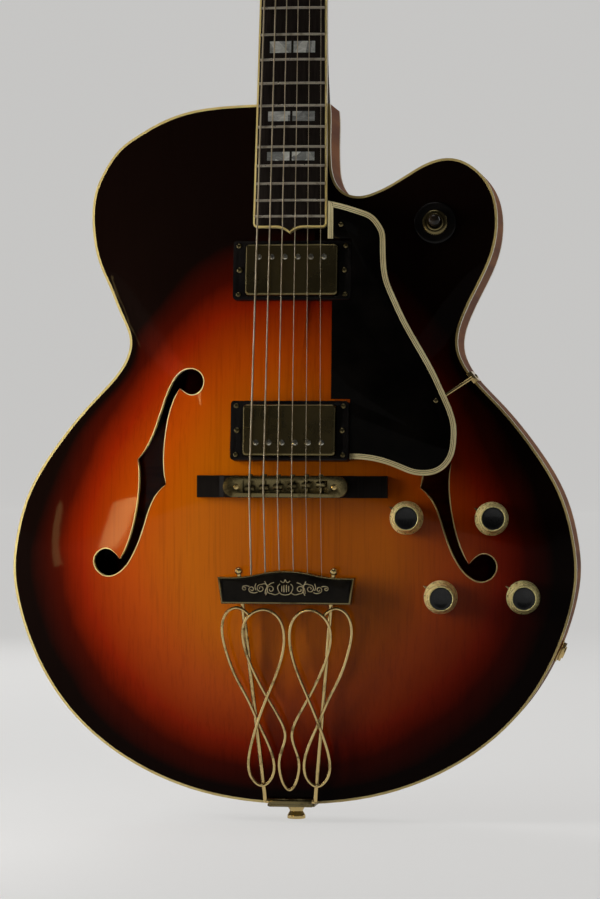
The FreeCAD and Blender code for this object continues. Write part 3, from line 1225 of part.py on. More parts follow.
def tail_loops():
    """The bent wire: loops that cross over each other, resting on the two rods."""
    half = BAR_WIDTH / 2
    rest = ROD_RADIUS + WIRE_RADIUS
    step = 2 * WIRE_RADIUS + WIRE_GAP
    bass = [at(x * half, y * TAIL_RUN, rest + over * step) for x, y, over in WIRE_SHARES]
    treble = [at(-p.x, p.y, p.z) for p in bass[::-1]]
    path = through(bass + [at(0, WIRE_MIDDLE_SHARE * TAIL_RUN, rest)] + treble)
    span = path.LastParameter - path.FirstParameter
    cuts = [path.FirstParameter + span * number / WIRE_RUNS for number in range(WIRE_RUNS + 1)]
    rings = [Part.Wire(Part.makeCircle(WIRE_RADIUS, path.valueAt(cut), path.tangentAt(cut))) for cut in cuts]
    faces = [Part.Face(rings[0]), Part.Face(rings[-1])]
    for begin, end, ring_wire in zip(cuts, cuts[1:], rings):
        run = Part.Wire(path.Curve.toShape(begin, end))
        faces += run.makePipeShell([ring_wire], False, False).Faces
    skin = Part.Shell(faces)
    skin.sewShape()
    return Part.Solid(skin)


def make_tailpiece():
    """Bar, looped wire with its two rods, hinge bracket and end pin."""
    rods = []
    nuts = []
    for side in (-1, 1):
        foot = at(side * ROD_FOOT_SPAN / 2, 0, 0)
        top = at(side * ROD_TOP_SPAN / 2, TAIL_RUN + BAR_HEIGHT + BAR_CREST, 0)
        rods.append(rod(foot, top, ROD_RADIUS))
        nuts.append(Part.makeSphere(ROD_NUT_RADIUS, top))
    pin = rod(at(-ROD_FOOT_SPAN / 2, 0, 0), at(ROD_FOOT_SPAN / 2, 0, 0), ROD_RADIUS)
    frame = placed(fused(rods + nuts + [pin]), TAIL_PLACE)
    half_foot = BAR_FOOT_WIDTH / 2
    half_top = BAR_WIDTH / 2
    shoulder = BAR_BOTTOM + BAR_HEIGHT
    corners = [at(half_top, shoulder, 0), at(half_foot, BAR_BOTTOM, 0), at(-half_foot, BAR_BOTTOM, 0),
               at(-half_top, shoulder, 0)]
    sides = [Part.LineSegment(a, b).toShape() for a, b in zip(corners, corners[1:])]
    bends = [at(share * BAR_SWELL, bar_edge(share * BAR_SWELL), 0) for share in SWELL_BEND_SHARES]
    sides.append(Part.LineSegment(corners[3], bends[0]).toShape())
    sides += [Part.Arc(*bends[first:first + 3]).toShape() for first in range(0, len(bends) - 1, 2)]
    sides.append(Part.LineSegment(bends[-1], corners[0]).toShape())
    bar = slab(Part.Wire(sides), BAR_Z - BAR_THICKNESS / 2, BAR_Z + BAR_THICKNESS / 2)
    face_edges = [e for e in bar.Edges if e.BoundBox.ZMin > BAR_Z]
    bar = bar.makeFillet(BAR_EDGE, face_edges)
    seats = []
    for index in range(STRING_COUNT):
        place = bar_string(index)
        seats.append(rod(place, place + at(0, 2 * STRING_SEAT_DEPTH, 0), STRING_SEAT_RADIUS))
    keep("tail_crossbar", bar.cut(seats + [frame]))
    keep("tail_wire", group([frame, placed(tail_loops(), TAIL_PLACE)]))
    barrel = rod(ROD_FEET - at(HINGE_LENGTH / 2, 0, 0), ROD_FEET + at(HINGE_LENGTH / 2, 0, 0), HINGE_RADIUS)
    tongue = block(-HINGE_LENGTH / 2, HINGE_LENGTH / 2, -BRACKET_THICKNESS, HINGE_FORWARD, TOP_EDGE,
                   ROD_FEET.z)
    outer = block(-BRACKET_WIDTH / 2, BRACKET_WIDTH / 2, -BRACKET_THICKNESS, 0, TOP_EDGE - BRACKET_DROP,
                  TOP_EDGE).cut(RIM_PRISM)
    keep("tail_bracket", fused([outer, tongue, barrel]).cut([frame, END_PIN_SHANK]))
    profile = [(0, 0), (END_PIN_HEAD_RADIUS, 0), (END_PIN_HEAD_RADIUS, END_PIN_LIP),
               (END_PIN_WAIST_RADIUS, END_PIN_REACH / 2),
               (END_PIN_HEAD_RADIUS, END_PIN_REACH - END_PIN_LIP), (END_PIN_HEAD_RADIUS, END_PIN_REACH),
               (0, END_PIN_REACH)]
    points = [at(r, 0, z) for r, z in profile]
    knob = Part.Face(Part.makePolygon(points + points[:1])).revolve(ORIGIN, Z_AXIS, 360)
    end_knob = placed(knob, Placement(at(0, -BRACKET_THICKNESS, 0), Rotation(Z_AXIS, at(0, -1, 0))))
    heel_knob = placed(knob, Placement(at(0, BODY_LENGTH + HEEL_BUTTON_PLACE, -TOP_EDGE),
                                       Rotation(Z_AXIS, at(0, 0, -1))))
    keep("strap_buttons", group([fused([end_knob, END_PIN_SHANK]), fused([heel_knob, HEEL_BUTTON_SHANK])]))


# Controls
def make_controls():
    """Knobs with their shafts, potentiometers, pointers, selector switch and output jack."""
    z0 = KNOB_GAP
    z1 = z0 + KNOB_HEIGHT
    dish = z1 - KNOB_DISH_DEPTH
    reach = z0 + POT_SHAFT_REACH
    profile = [(POT_SHAFT_RADIUS, z0), (KNOB_BASE_RADIUS, z0), (KNOB_BASE_RADIUS, z0 + KNOB_FLANGE_HEIGHT),
               (KNOB_SKIRT_RADIUS, z0 + 2 * KNOB_FLANGE_HEIGHT), (KNOB_TOP_RADIUS, z1),
               (KNOB_DISH_RADIUS, z1),
               (KNOB_DISH_RADIUS, dish), (0, dish), (0, reach), (POT_SHAFT_RADIUS, reach)]
    points = [at(r, 0, z) for r, z in profile]
    skirt = Part.Face(Part.makePolygon(points + points[:1])).revolve(ORIGIN, Z_AXIS, 360)
    disc = Part.makeCylinder(KNOB_DISH_RADIUS, KNOB_DISH_DEPTH, at(0, 0, dish))
    shaft_foot = -POT_SEAT - POT_BODY_DEPTH / 2
    shaft = Part.makeCylinder(POT_SHAFT_RADIUS, reach - shaft_foot, at(0, 0, shaft_foot))
    bore = Part.makeCylinder(POT_SHAFT_RADIUS + RUN_CLEARANCE, 2 * OVERRUN, at(0, 0, shaft_foot - COLLAR_GAP))
    sleeve = Part.makeCylinder(POT_BUSHING_RADIUS, POT_SEAT + POINTER_THICKNESS, at(0, 0, -POT_SEAT))
    can = Part.makeCylinder(POT_BODY_RADIUS, POT_BODY_DEPTH, at(0, 0, -POT_SEAT - POT_BODY_DEPTH))
    pot = fused([sleeve, can]).cut(bore)
    washer = ring(POINTER_RADIUS, POT_BUSHING_RADIUS, at(0, 0, -POINTER_THICKNESS), Z_AXIS,
                  2 * POINTER_THICKNESS)
    tip = [at(POT_BUSHING_RADIUS + RUN_CLEARANCE, -POINTER_WIDTH, 0), at(POINTER_REACH, 0, 0),
           at(POT_BUSHING_RADIUS + RUN_CLEARANCE, POINTER_WIDTH, 0)]
    pointer = slab(Part.makePolygon(tip + tip[:1]), 0, POINTER_THICKNESS)
    pointer = fused([washer, pointer])
    pointer.rotate(ORIGIN, Z_AXIS, POINTER_ANGLE)
    pots = []
    pointers = []
    for number, seat in enumerate(KNOB_SEATS, 1):
        keep("control_knob_%d" % number, group([placed(piece, seat) for piece in (skirt, disc, shaft)]))
        pots.append(placed(pot, seat))
        pointers.append(below_top(placed(pointer, seat)).cut(placed(sleeve, seat)))
    keep("potentiometers", group(pots))
    keep("control_pointers", group(pointers))
    plate = ring(SWITCH_RING_RADIUS, SWITCH_BUSHING_RADIUS, at(0, 0, -SWITCH_RING_THICKNESS), Z_AXIS,
                 2 * SWITCH_RING_THICKNESS)
    keep("selector_washer", below_top(placed(plate, SWITCH_SEAT)))
    collar = ring(SWITCH_COLLAR_RADIUS, SWITCH_BUSHING_RADIUS, at(0, 0, SWITCH_RING_THICKNESS), Z_AXIS,
                  SWITCH_COLLAR_HEIGHT)
    top = SWITCH_RING_THICKNESS + SWITCH_COLLAR_HEIGHT
    barrel = Part.makeCylinder(SWITCH_BUSHING_RADIUS, top + SWITCH_SEAT_DEPTH, at(0, 0, -SWITCH_SEAT_DEPTH))
    case = rounded_block(SWITCH_BODY_WIDTH, SWITCH_BODY_LENGTH, SWITCH_BODY_DEPTH, SWITCH_LEVER_RADIUS,
                         ORIGIN, -SWITCH_SEAT_DEPTH - SWITCH_BODY_DEPTH)
    throat = Part.makeCylinder(SWITCH_BORE_RADIUS, top + SWITCH_SEAT_DEPTH + SWITCH_BODY_DEPTH / 2,
                               at(0, 0, -SWITCH_SEAT_DEPTH - SWITCH_BODY_DEPTH / 2))
    axle = rod(at(-SWITCH_BUSHING_RADIUS, 0, -SWITCH_PIVOT_DEPTH),
               at(SWITCH_BUSHING_RADIUS, 0, -SWITCH_PIVOT_DEPTH), SWITCH_AXLE_RADIUS)
    switch = fused([fused([barrel, case]).cut(throat), axle])
    keep("selector_switch", group([placed(switch, SWITCH_SEAT), placed(collar, SWITCH_SEAT)]))
    ball = Part.makeSphere(SWITCH_BALL_RADIUS, at(0, 0, -SWITCH_PIVOT_DEPTH))
    foot = -SWITCH_PIVOT_DEPTH - SWITCH_BALL_RADIUS - SWITCH_LEVER_LENGTH / 2
    stalk = Part.makeCylinder(SWITCH_LEVER_RADIUS, top + SWITCH_LEVER_LENGTH / 2 - foot, at(0, 0, foot))
    tip_z = top + SWITCH_LEVER_LENGTH / 2
    cap = Part.makeCone(SWITCH_LEVER_RADIUS + SWITCH_AXLE_RADIUS, SWITCH_TIP_RADIUS, SWITCH_TIP_LENGTH,
                        at(0, 0, tip_z))
    dome = Part.makeSphere(SWITCH_TIP_RADIUS, at(0, 0, tip_z + SWITCH_TIP_LENGTH))
    lever = fused([stalk, ball, cap, dome])
    hole = rod(at(-SWITCH_BUSHING_RADIUS, 0, -SWITCH_PIVOT_DEPTH),
               at(SWITCH_BUSHING_RADIUS, 0, -SWITCH_PIVOT_DEPTH),
               SWITCH_AXLE_RADIUS + RUN_CLEARANCE)
    keep("selector_lever", placed(lever.cut(hole), SWITCH_SEAT))
    tube = ring(JACK_BARREL_RADIUS, JACK_BORE_RADIUS, at(0, 0, -JACK_INSIDE), Z_AXIS,
                JACK_INSIDE + JACK_REACH)
    disc = ring(JACK_WASHER_RADIUS, JACK_BARREL_RADIUS, at(0, 0, -JACK_WASHER_THICKNESS), Z_AXIS,
                2 * JACK_WASHER_THICKNESS)
    nut_points = [at(JACK_NUT_RADIUS * math.cos(math.pi * i / 3),
                     JACK_NUT_RADIUS * math.sin(math.pi * i / 3), 0) for i in range(6)]
    nut = slab(Part.makePolygon(nut_points + nut_points[:1]), JACK_WASHER_THICKNESS,
               JACK_WASHER_THICKNESS + JACK_NUT_HEIGHT)
    nut = nut.cut(Part.makeCylinder(JACK_BARREL_RADIUS, JACK_REACH, at(0, 0, 0)))
    shoulder = ring(JACK_WASHER_RADIUS, JACK_BARREL_RADIUS, at(0, 0, -JACK_INSIDE), Z_AXIS, JACK_SHOULDER)
    jack = [placed(fused([tube, shoulder]), JACK_SEAT), placed(disc, JACK_SEAT).cut(RIM_PRISM),
            placed(nut, JACK_SEAT)]
    keep("output_jack", group(jack))


# Finger rest
GUARD_PLACE = Placement(at(0, GUARD_TOP_HEIGHT, TOP_EDGE + GUARD_LIFT),
                        Rotation(Vector(1, 0, 0), -GUARD_TILT))


def guard_point(x, y):
    """A point of the finger rest's own frame, from a place on the top."""
    return at(x, y - GUARD_TOP_HEIGHT, 0)


GUARD_SCREW_PLACES = (guard_point(*ARM_HEAD), guard_point(*GUARD_POST_PLACE))
GUARD_SCREWS = [placed(screw(p.x, p.y, GUARD_THICKNESS, RING_SCREW_RADIUS, GUARD_SHANK_LENGTH), GUARD_PLACE)
                for p in GUARD_SCREW_PLACES]


def make_guard():
    """Finger rest, its edge binding, and the arm and post that carry it."""
    edge = [guard_point(GUARD_LEFT + x * GUARD_WIDTH, GUARD_TOP_HEIGHT + (y - 1) * GUARD_LENGTH)
            for x, y in GUARD_EDGE_SHARES]
    inner_x = PICKUP_OFFSET + RING_LENGTH / 2 + GUARD_CLEARANCE
    waist_x = GUARD_LEFT + GUARD_WAIST_SHARE * GUARD_WIDTH
    reach = RING_WIDTH / 2 + GUARD_CLEARANCE
    left = [guard_point(x, y) for x, y in (
        (inner_x, BRIDGE_PICKUP_HEIGHT + reach), (waist_x, BRIDGE_PICKUP_HEIGHT + reach),
        (waist_x, NECK_PICKUP_HEIGHT - reach),
        (inner_x, NECK_PICKUP_HEIGHT - reach), (inner_x, NECK_PICKUP_HEIGHT + reach),
        (GUARD_LEFT, NECK_PICKUP_HEIGHT + reach))]
    border = through(edge)
    lines = [edge[-1]] + left + [edge[0]]
    straight = [Part.LineSegment(a, b).toShape() for a, b in zip(lines, lines[1:])]
    plate = slab(Part.Wire([border] + straight), 0, GUARD_THICKNESS)
    samples = border.discretize(Number=OUTLINE_SAMPLES)
    drawn_in = []
    for before, here, after in zip(samples[:1] + samples, samples, samples[1:] + samples[-1:]):
        along = (after - before).normalize()
        drawn_in.append(here + at(along.y, -along.x, 0) * GUARD_BINDING_WIDTH)
    band = Part.Wire([border, Part.LineSegment(samples[-1], drawn_in[-1]).toShape(), through(drawn_in[::-1]),
                      Part.LineSegment(drawn_in[0], samples[0]).toShape()])
    neck_side = left[-1]
    side_band = block(neck_side.x, neck_side.x + GUARD_BINDING_WIDTH, neck_side.y, edge[0].y, 0,
                      GUARD_THICKNESS)
    strip = fused([slab(band, 0, GUARD_THICKNESS), side_band])
    space = rounded_block(RING_LENGTH + 2 * GUARD_CLEARANCE, RING_WIDTH + 2 * GUARD_CLEARANCE, 2 * RING_STOCK,
                          RING_CORNER, ORIGIN, -RING_DROP - RING_STOCK)
    spaces = [placed(space, place) for place, _ in PICKUPS]
    keep("pickguard", placed(plate.cut(strip), GUARD_PLACE).cut(GUARD_SCREWS + spaces))
    keep("pickguard_binding", placed(strip.common(plate), GUARD_PLACE).cut(spaces))
    pad = block(-ARM_PAD_WIDTH / 2, ARM_PAD_WIDTH / 2, TOP_EDGE - ARM_PAD_HEIGHT, TOP_EDGE + ARM_RISE,
                -ARM_PAD_THICKNESS, ARM_PAD_THICKNESS)
    pad = placed(pad, ARM_SEAT).cut(RIM_PRISM)
    arm_start = ARM_SEAT.multVec(at(0, TOP_EDGE + ARM_RISE - ARM_RADIUS, 0))
    head = GUARD_SCREW_PLACES[0]
    arm_end = GUARD_PLACE.multVec(head - at(0, 0, ARM_NUT_LENGTH / 2))
    nut = placed(Part.makeCylinder(ARM_NUT_RADIUS, ARM_NUT_LENGTH, head - at(0, 0, ARM_NUT_LENGTH)),
                 GUARD_PLACE)
    arm = fused([pad, rod(arm_start, arm_end, ARM_RADIUS), nut])
    post = GUARD_SCREW_PLACES[1]
    stand = placed(Part.makeCylinder(ARM_NUT_RADIUS, GUARD_LIFT, post - at(0, 0, GUARD_LIFT)), GUARD_PLACE)
    keep("pickguard_bracket", group([arm.cut(ARM_SCREWS + GUARD_SCREWS), below_top(stand).cut(GUARD_SCREWS)]))


make_pickups()
make_body()
make_neck()
make_fingerboard()
make_strings()
make_tuners()
make_bridge()
make_tailpiece()
make_controls()
make_guard()
all_screws = GUARD_SCREWS + ARM_SCREWS + HEAD_SCREWS
for place, _ in PICKUPS:
    all_screws = all_screws + ring_screws(place) + height_screws(place)
keep("small_screws", group(all_screws))

os.makedirs("parts", exist_ok=True)
UPRIGHT = Placement(ORIGIN, Rotation(Vector(1, 0, 0), 90))
for name, shape in PIECES.items():
    placed(shape, UPRIGHT).exportStep("parts/%s.step" % name)
    print("%-22s solids %2d  volume %10.1f  valid %s" % (name, len(shape.Solids), shape.Volume,
                                                         shape.isValid()))
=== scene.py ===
"""Looks of the archtop guitar: lacquer, plating, pearl and plastic, and the small turned and cut pieces."""

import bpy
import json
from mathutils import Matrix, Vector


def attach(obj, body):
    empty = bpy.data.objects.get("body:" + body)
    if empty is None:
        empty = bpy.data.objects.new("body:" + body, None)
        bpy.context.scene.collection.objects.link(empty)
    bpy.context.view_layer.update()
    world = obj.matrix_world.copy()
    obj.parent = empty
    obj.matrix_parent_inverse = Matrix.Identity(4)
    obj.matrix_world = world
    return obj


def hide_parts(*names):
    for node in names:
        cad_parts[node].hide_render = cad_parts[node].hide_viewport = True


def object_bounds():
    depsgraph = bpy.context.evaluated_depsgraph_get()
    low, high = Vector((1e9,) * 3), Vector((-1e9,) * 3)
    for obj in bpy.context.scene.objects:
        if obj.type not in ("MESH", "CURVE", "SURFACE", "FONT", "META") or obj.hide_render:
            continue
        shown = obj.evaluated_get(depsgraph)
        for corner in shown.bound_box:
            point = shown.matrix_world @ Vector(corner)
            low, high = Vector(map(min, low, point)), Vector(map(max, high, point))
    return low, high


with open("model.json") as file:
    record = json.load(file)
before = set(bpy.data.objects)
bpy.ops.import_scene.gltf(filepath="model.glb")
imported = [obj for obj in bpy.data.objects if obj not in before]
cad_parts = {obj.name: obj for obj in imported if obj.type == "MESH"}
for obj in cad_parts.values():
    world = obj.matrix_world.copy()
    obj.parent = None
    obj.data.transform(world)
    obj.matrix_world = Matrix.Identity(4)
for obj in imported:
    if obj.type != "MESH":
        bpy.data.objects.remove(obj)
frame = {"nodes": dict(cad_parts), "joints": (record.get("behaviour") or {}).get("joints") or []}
cad_box = [list(corner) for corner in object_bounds()]

import json
import math

import bpy
from mathutils import Matrix, Vector
from mathutils.bvhtree import BVHTree

MM = 0.001
UP = Vector((0, 0, 1))
NODES = frame["nodes"]
JOINTS = {joint["name"]: joint for joint in frame["joints"]}

# Camera, floor and lamps
AIM = Vector((0.006, -0.030, 0.269))
CAMERA_TURN = 8.0
CAMERA_ROLL = 0.2
CAMERA_DISTANCE = 2.5
CAMERA_LENS = 132.0
SENSOR = 36.0
FLOOR_HALF = 18.0
FLOOR_REACH = 14.0
WALL_HEIGHT = 14.0
SWEEP_RADIUS = 1.6
SWEEP_SEGMENTS = 16
FLOOR_COLOUR = (0.15, 0.1485, 0.1455, 1)
FLOOR_SHADE = (0.20, 0.20, 0.195, 1)
WORLD_COLOUR = (0.04, 0.04, 0.041, 1)
FLOOR_GLOW = (0.56, 0.555, 0.545, 1)
BLACK = (0, 0, 0, 1)
PAPER_CLOUDS = (3.0, 2.0)
PAPER_RANGE = (0.3, 0.7)
PAPER_DIP = 0.97
PAPER_ROUGHNESS = 0.9
WHITE_LIGHT = (1.0, 1.0, 1.0)
WARM_LIGHT = (1.0, 0.70, 0.26)
# name, place, aim, width, height, power, colour, whether gloss mirrors it
LAMPS = (
    ("key_lamp", (-0.50, -0.29, 0.34), (0.0, -0.03, 0.27), 0.20, 0.40, 2.8, WHITE_LIGHT, False),
    ("side_lamp", (-1.10, -0.24, 0.42), (0.0, -0.03, 0.30), 0.20, 0.9, 2.2, WHITE_LIGHT, True),
    ("glint_lamp", (-1.01, -1.74, 0.20), (-0.12, 0.0, 0.20), 0.055, 0.26, 1.1, WARM_LIGHT, True),
    ("fill_lamp", (2.10, -1.90, 0.90), (0.0, 0.0, 0.35), 1.2, 1.6, 1.0, WHITE_LIGHT, True),
    ("edge_lamp", (1.90, 0.55, 1.05), (0.1, 0.0, 0.35), 0.5, 1.6, 11.0, WHITE_LIGHT, True),
    ("rear_lamp", (-0.90, 1.90, 1.10), (0.0, 0.0, 0.40), 0.8, 1.2, 16.0, WHITE_LIGHT, True),
    ("crown_lamp", (-0.30, -0.70, 2.60), (0.0, 0.0, 0.40), 1.4, 0.9, 7.0, WHITE_LIGHT, True),
)

# Edges and turned work
SMOOTH_ANGLE = math.radians(38)
BEVEL_ANGLE = math.radians(28)
FLAT_ANGLE = math.radians(0.4)
MERGE_GAP = 0.002 * MM
TURNED_SIDES = 64

# Control knobs, as radius and height over the seat
KNOB_COUNT = 4
KNOB_STEPS = (
    (12.0, 1.9), (12.5, 2.1), (12.7, 2.6), (12.7, 4.1), (12.5, 4.6), (11.95, 5.75),
    (11.4, 6.85), (11.1, 7.5), (10.6, 10.2), (10.0, 13.4), (9.5, 16.2), (9.38, 17.0),
    (9.15, 17.4), (8.85, 17.5), (8.6, 17.35), (8.5, 17.0), (8.45, 16.4),
)
CAP_STEPS = (
    (8.4, 16.2), (8.4, 16.75), (8.15, 16.95), (7.7, 16.98), (6.0, 16.72), (3.5, 16.52), (1.0, 16.45),
)
NUMBER_SIZE = 2.2 * MM
NUMBER_DEPTH = 0.03 * MM
NUMBER_RADIUS = 11.97 * MM
NUMBER_HEIGHT = 5.76 * MM
NUMBER_TILT = math.radians(63)
NUMBER_SWEEP = math.radians(300)
NUMBER_TOP = 10

# Selector
SELECTOR_PLACE = Vector((108.6, -32.746, 440.0)) * MM
SELECTOR_WAY = Vector((0.05104, -0.99495, 0.08644))
WASHER_STEPS = (
    (15.4, -1.6), (15.8, -1.2), (16.0, 0.0), (15.95, 0.9), (15.6, 1.5), (14.9, 1.85),
    (13.9, 1.95), (12.4, 1.8), (10.6, 1.6), (9.0, 1.6),
)
COLLAR_STEPS = (
    (9.2, 1.4), (9.4, 1.7), (9.4, 4.4), (9.1, 4.9), (8.5, 5.2), (7.2, 5.3), (6.9, 5.1), (6.4, 5.0),
    (6.0, 5.3),
)
COLLAR_MOUTH_STEPS = ((5.2, 5.4), (4.7, 5.2), (4.6, -2.0))
COLLAR_SIDES = 72
# lowest and highest middle of a pressed face
COLLAR_KNURL = (2.0, 4.2)
KNURL_INSET = 0.08 * MM
KNURL_DEPTH = 0.28 * MM
KNURL_TILT = 0.2
LEVER_STEPS = (
    (1.2, -6.0), (2.0, -5.4), (2.5, -4.4), (2.5, -3.6), (2.0, -2.4), (1.6, -1.4), (1.6, 8.0), (2.3, 8.2),
    (2.6, 8.7), (3.2, 10.0), (4.0, 11.9), (4.5, 13.1), (4.7, 14.1), (4.65, 15.1), (4.3, 16.3), (3.6, 17.3),
    (2.5, 18.0), (1.2, 18.25), (0.5, 18.3),
)

# Pickups stand parallel to the strings, each in a frame of its own with zero on its cover
PICKUP_WAY = Vector((0.0, -0.99619, 0.08716))
PICKUP_PLACES = (Vector((1.9, -51.676, 404.4)) * MM, Vector((1.9, -62.245, 283.6)) * MM)
POLE_SIDES = (1, -1)
POLE_COUNT = 6
POLE_SPAN = 49.5 * MM
POLE_ROW = 9.6 * MM
POLE_STEPS = ((2.0, -17.0), (2.0, 0.25), (2.15, 0.3), (2.15, 0.75), (1.95, 1.0), (1.3, 1.15), (0.5, 1.2))
POLE_SLOT = (6.0, 0.62, 1.5)
POLE_SLOT_FLOOR = 0.55
POLE_TURN = 1.1
SCREW_SIDES = 32
SCREW_STEPS = ((1.15, -5.0), (1.15, -0.1), (1.9, 0.0), (1.9, 0.25), (1.6, 0.65), (1.05, 0.92), (0.4, 1.0))
SCREW_SLOT = (2.6, 0.55, 1.6)
SCREW_SLOT_FLOOR = 0.42
ONE_SLOT = (0.0,)
CROSSED_SLOTS = (0.0, math.pi / 2)
RING_DROP = 3.6 * MM
RING_SCREW_X = 40.6 * MM
RING_SCREW_Y = 18.4 * MM
HEIGHT_SCREW_X = 39.8 * MM
HEIGHT_SCREW_SHARE = 1.16
# place across and along, and share of the screw's size
RING_SCREWS = (
    (RING_SCREW_X, RING_SCREW_Y, 1.0),
    (RING_SCREW_X, -RING_SCREW_Y, 1.0),
    (HEIGHT_SCREW_X, 0, HEIGHT_SCREW_SHARE),
)

# Other screws, as place and way
GUARD_WAY = Vector((0.0, -0.99897, 0.04536))
GUARD_SCREWS = (Vector((112.0, -56.424, 305.773)) * MM, Vector((39.4, -50.414, 438.136)) * MM)
ARM_SCREW = Vector((138.714, -17.0, 325.003)) * MM
ARM_WAY = Vector((0.77717, 0.0, 0.62929))
HEAD_PLACE = Vector((0.0, -2.259, 893.797)) * MM
HEAD_WAY = Vector((0.0, -0.93969, 0.34202))
COVER_SCREWS = ((-9.4, 4.6), (9.4, 4.6), (0.0, 33.4))
COVER_FACE = 4.0 * MM

# Bridge
THUMBWHEEL_PLACES = (Vector((-37.0, -59.03, 240.99)) * MM, Vector((37.0, -59.03, 240.99)) * MM)
THUMBWHEEL_STEPS = (
    (7.2, -3.4), (7.9, -3.2), (8.0, -2.9), (8.0, -0.5), (7.9, -0.2), (7.2, 0.0), (2.2, 0.05),
)
THUMBWHEEL_SIDES = 56
THUMBWHEEL_KNURL = (-2.8, -0.6)
BRIDGE_POST_STEPS = ((2.2, -11.0), (2.2, 8.3), (2.0, 8.6), (1.4, 8.75), (0.6, 8.8))
BRIDGE_POST_SLOT = (6.0, 0.7, 2.0)
BRIDGE_POST_SLOT_FLOOR = 7.9
BRIDGE_POST_SLOT_TURNS = (0.5,)
FRONT_WAY = Vector((0, -1, 0))

# Softened edges of cut pieces: node, width, segments
SOFTENED = (
    ("bridge_base", 0.7, 3), ("bridge_body", 0.8, 3), ("bridge_saddles", 0.25, 2),
    ("pickup_rings", 0.5, 3), ("truss_rod_cover", 0.4, 2), ("nut", 0.3, 2), ("tail_bracket", 0.4, 2),
    ("pickguard", 0.35, 2), ("strap_buttons", 0.4, 3), ("output_jack", 0.25, 2),
    ("pickguard_bracket", 0.25, 2), ("control_pointers", 0.15, 2), ("heel_cap", 0.4, 2),
)

# Tail bar panel, and the treble half of its scrolls as places across and above the scroll line
BAR_FACE = -63.5 * MM
FACE_GAP = 0.05 * MM
PANEL_MARGIN = 1.5 * MM
PANEL_RISE = 0.3 * MM
SCROLL_HEIGHT = 164.6 * MM
SCROLL_RADIUS = 0.30 * MM
SCROLL_SINK = 0.12 * MM
CURL_STEP = math.radians(40)
CURL_SHRINK = 0.25
# stem points, then the curl's centre, radius, start and sweep in degrees
SCROLL_CURLS = (
    (((4.4, -3.0), (7.4, -4.4)), (11.0, -0.4), 3.3, -100, 490),
    (((13.2, 2.4), (15.6, 3.7)), (18.6, 0.2), 3.1, 100, -490),
    (((21.0, -2.5), (23.0, -3.2)), (25.4, -0.5), 2.5, -95, 460),
    (((27.2, 1.6), (28.8, 2.1)), (30.9, 0.2), 1.8, 95, -440),
)
SCROLL_STROKES = (
    ((8.6, 4.8), (11.6, 3.6), (14.4, 0.2), (15.2, -3.6)),
    ((15.6, 5.6), (13.9, 2.0), (13.6, -1.8), (14.8, -4.8)),
    ((22.2, 3.9), (22.9, 1.2), (22.2, -1.2)),
    ((0.9, -2.4), (0.9, 2.8)),
    ((2.6, -2.0), (2.6, 2.3)),
    ((0.0, 7.0), (1.5, 4.8), (3.6, 6.0)),
    ((0.0, -4.6), (3.2, -3.8), (5.2, -1.2), (5.6, 1.8), (4.0, 3.7)),
)
LINE_ROUNDING = 2
SCROLL_STEPS = 6

# Dark lines of the finger rest's layered edge: distance from the border and half width
PLY_LINES = ((1.70, 0.46), (2.95, 0.34))
PLY_RISE = 0.06 * MM
BORDER_GAP = 1.0 * MM
MITRE_LIMIT = 0.5
FRONT_SHARE = 0.9
STRING_SMOOTH_ANGLE = math.radians(60)


# Small tools for shaping
def clear_selection():
    """Leaves edit mode and drops every selection."""
    if bpy.context.object and bpy.context.object.mode != "OBJECT":
        bpy.ops.object.mode_set(mode="OBJECT")
    bpy.ops.object.select_all(action="DESELECT")


def take_up(piece):
    """Makes one piece the only selected and active one."""
    clear_selection()
    piece.select_set(True)
    bpy.context.view_layer.objects.active = piece


def edit_all(piece):
    """Opens a piece in edit mode with all of it selected."""
    take_up(piece)
    bpy.ops.object.mode_set(mode="EDIT")
    bpy.ops.mesh.select_all(action="SELECT")


def pick_faces(piece, wanted):
    """Opens a piece for editing, with the faces selected that pass a test of centre, normal and number."""
    edit_all(piece)
    bpy.ops.mesh.select_mode(type="FACE")
    bpy.ops.mesh.select_all(action="DESELECT")
    bpy.ops.object.mode_set(mode="OBJECT")
    for face in piece.data.polygons:
        face.select = bool(wanted(face.center, face.normal, face.index))
    bpy.ops.object.mode_set(mode="EDIT")


def smoothed(piece, angle=SMOOTH_ANGLE):
    """Smooths what isn't an edge."""
    take_up(piece)
    bpy.ops.object.shade_smooth_by_angle(angle=angle)
    return piece


def close_up(piece):
    """Turns the faces outwards and smooths what isn't an edge."""
    edit_all(piece)
    bpy.ops.mesh.normals_make_consistent(inside=False)
    return smoothed(piece)


def settle(piece):
    """Moves an object's place into its mesh."""
    take_up(piece)
    bpy.ops.object.transform_apply(location=True, rotation=True, scale=True)
    return piece


def apply_modifier(piece, modifier):
    """Applies one modifier of a piece."""
    take_up(piece)
    bpy.ops.object.modifier_apply(modifier=modifier.name)


def bevel_edges(piece, width, segments):
    """Rounds the sharp edges of a piece."""
    bevel = piece.modifiers.new("soft_edges", "BEVEL")
    bevel.width = width
    bevel.segments = segments
    bevel.limit_method = "ANGLE"
    bevel.angle_limit = BEVEL_ANGLE
    bevel.use_clamp_overlap = True
    apply_modifier(piece, bevel)


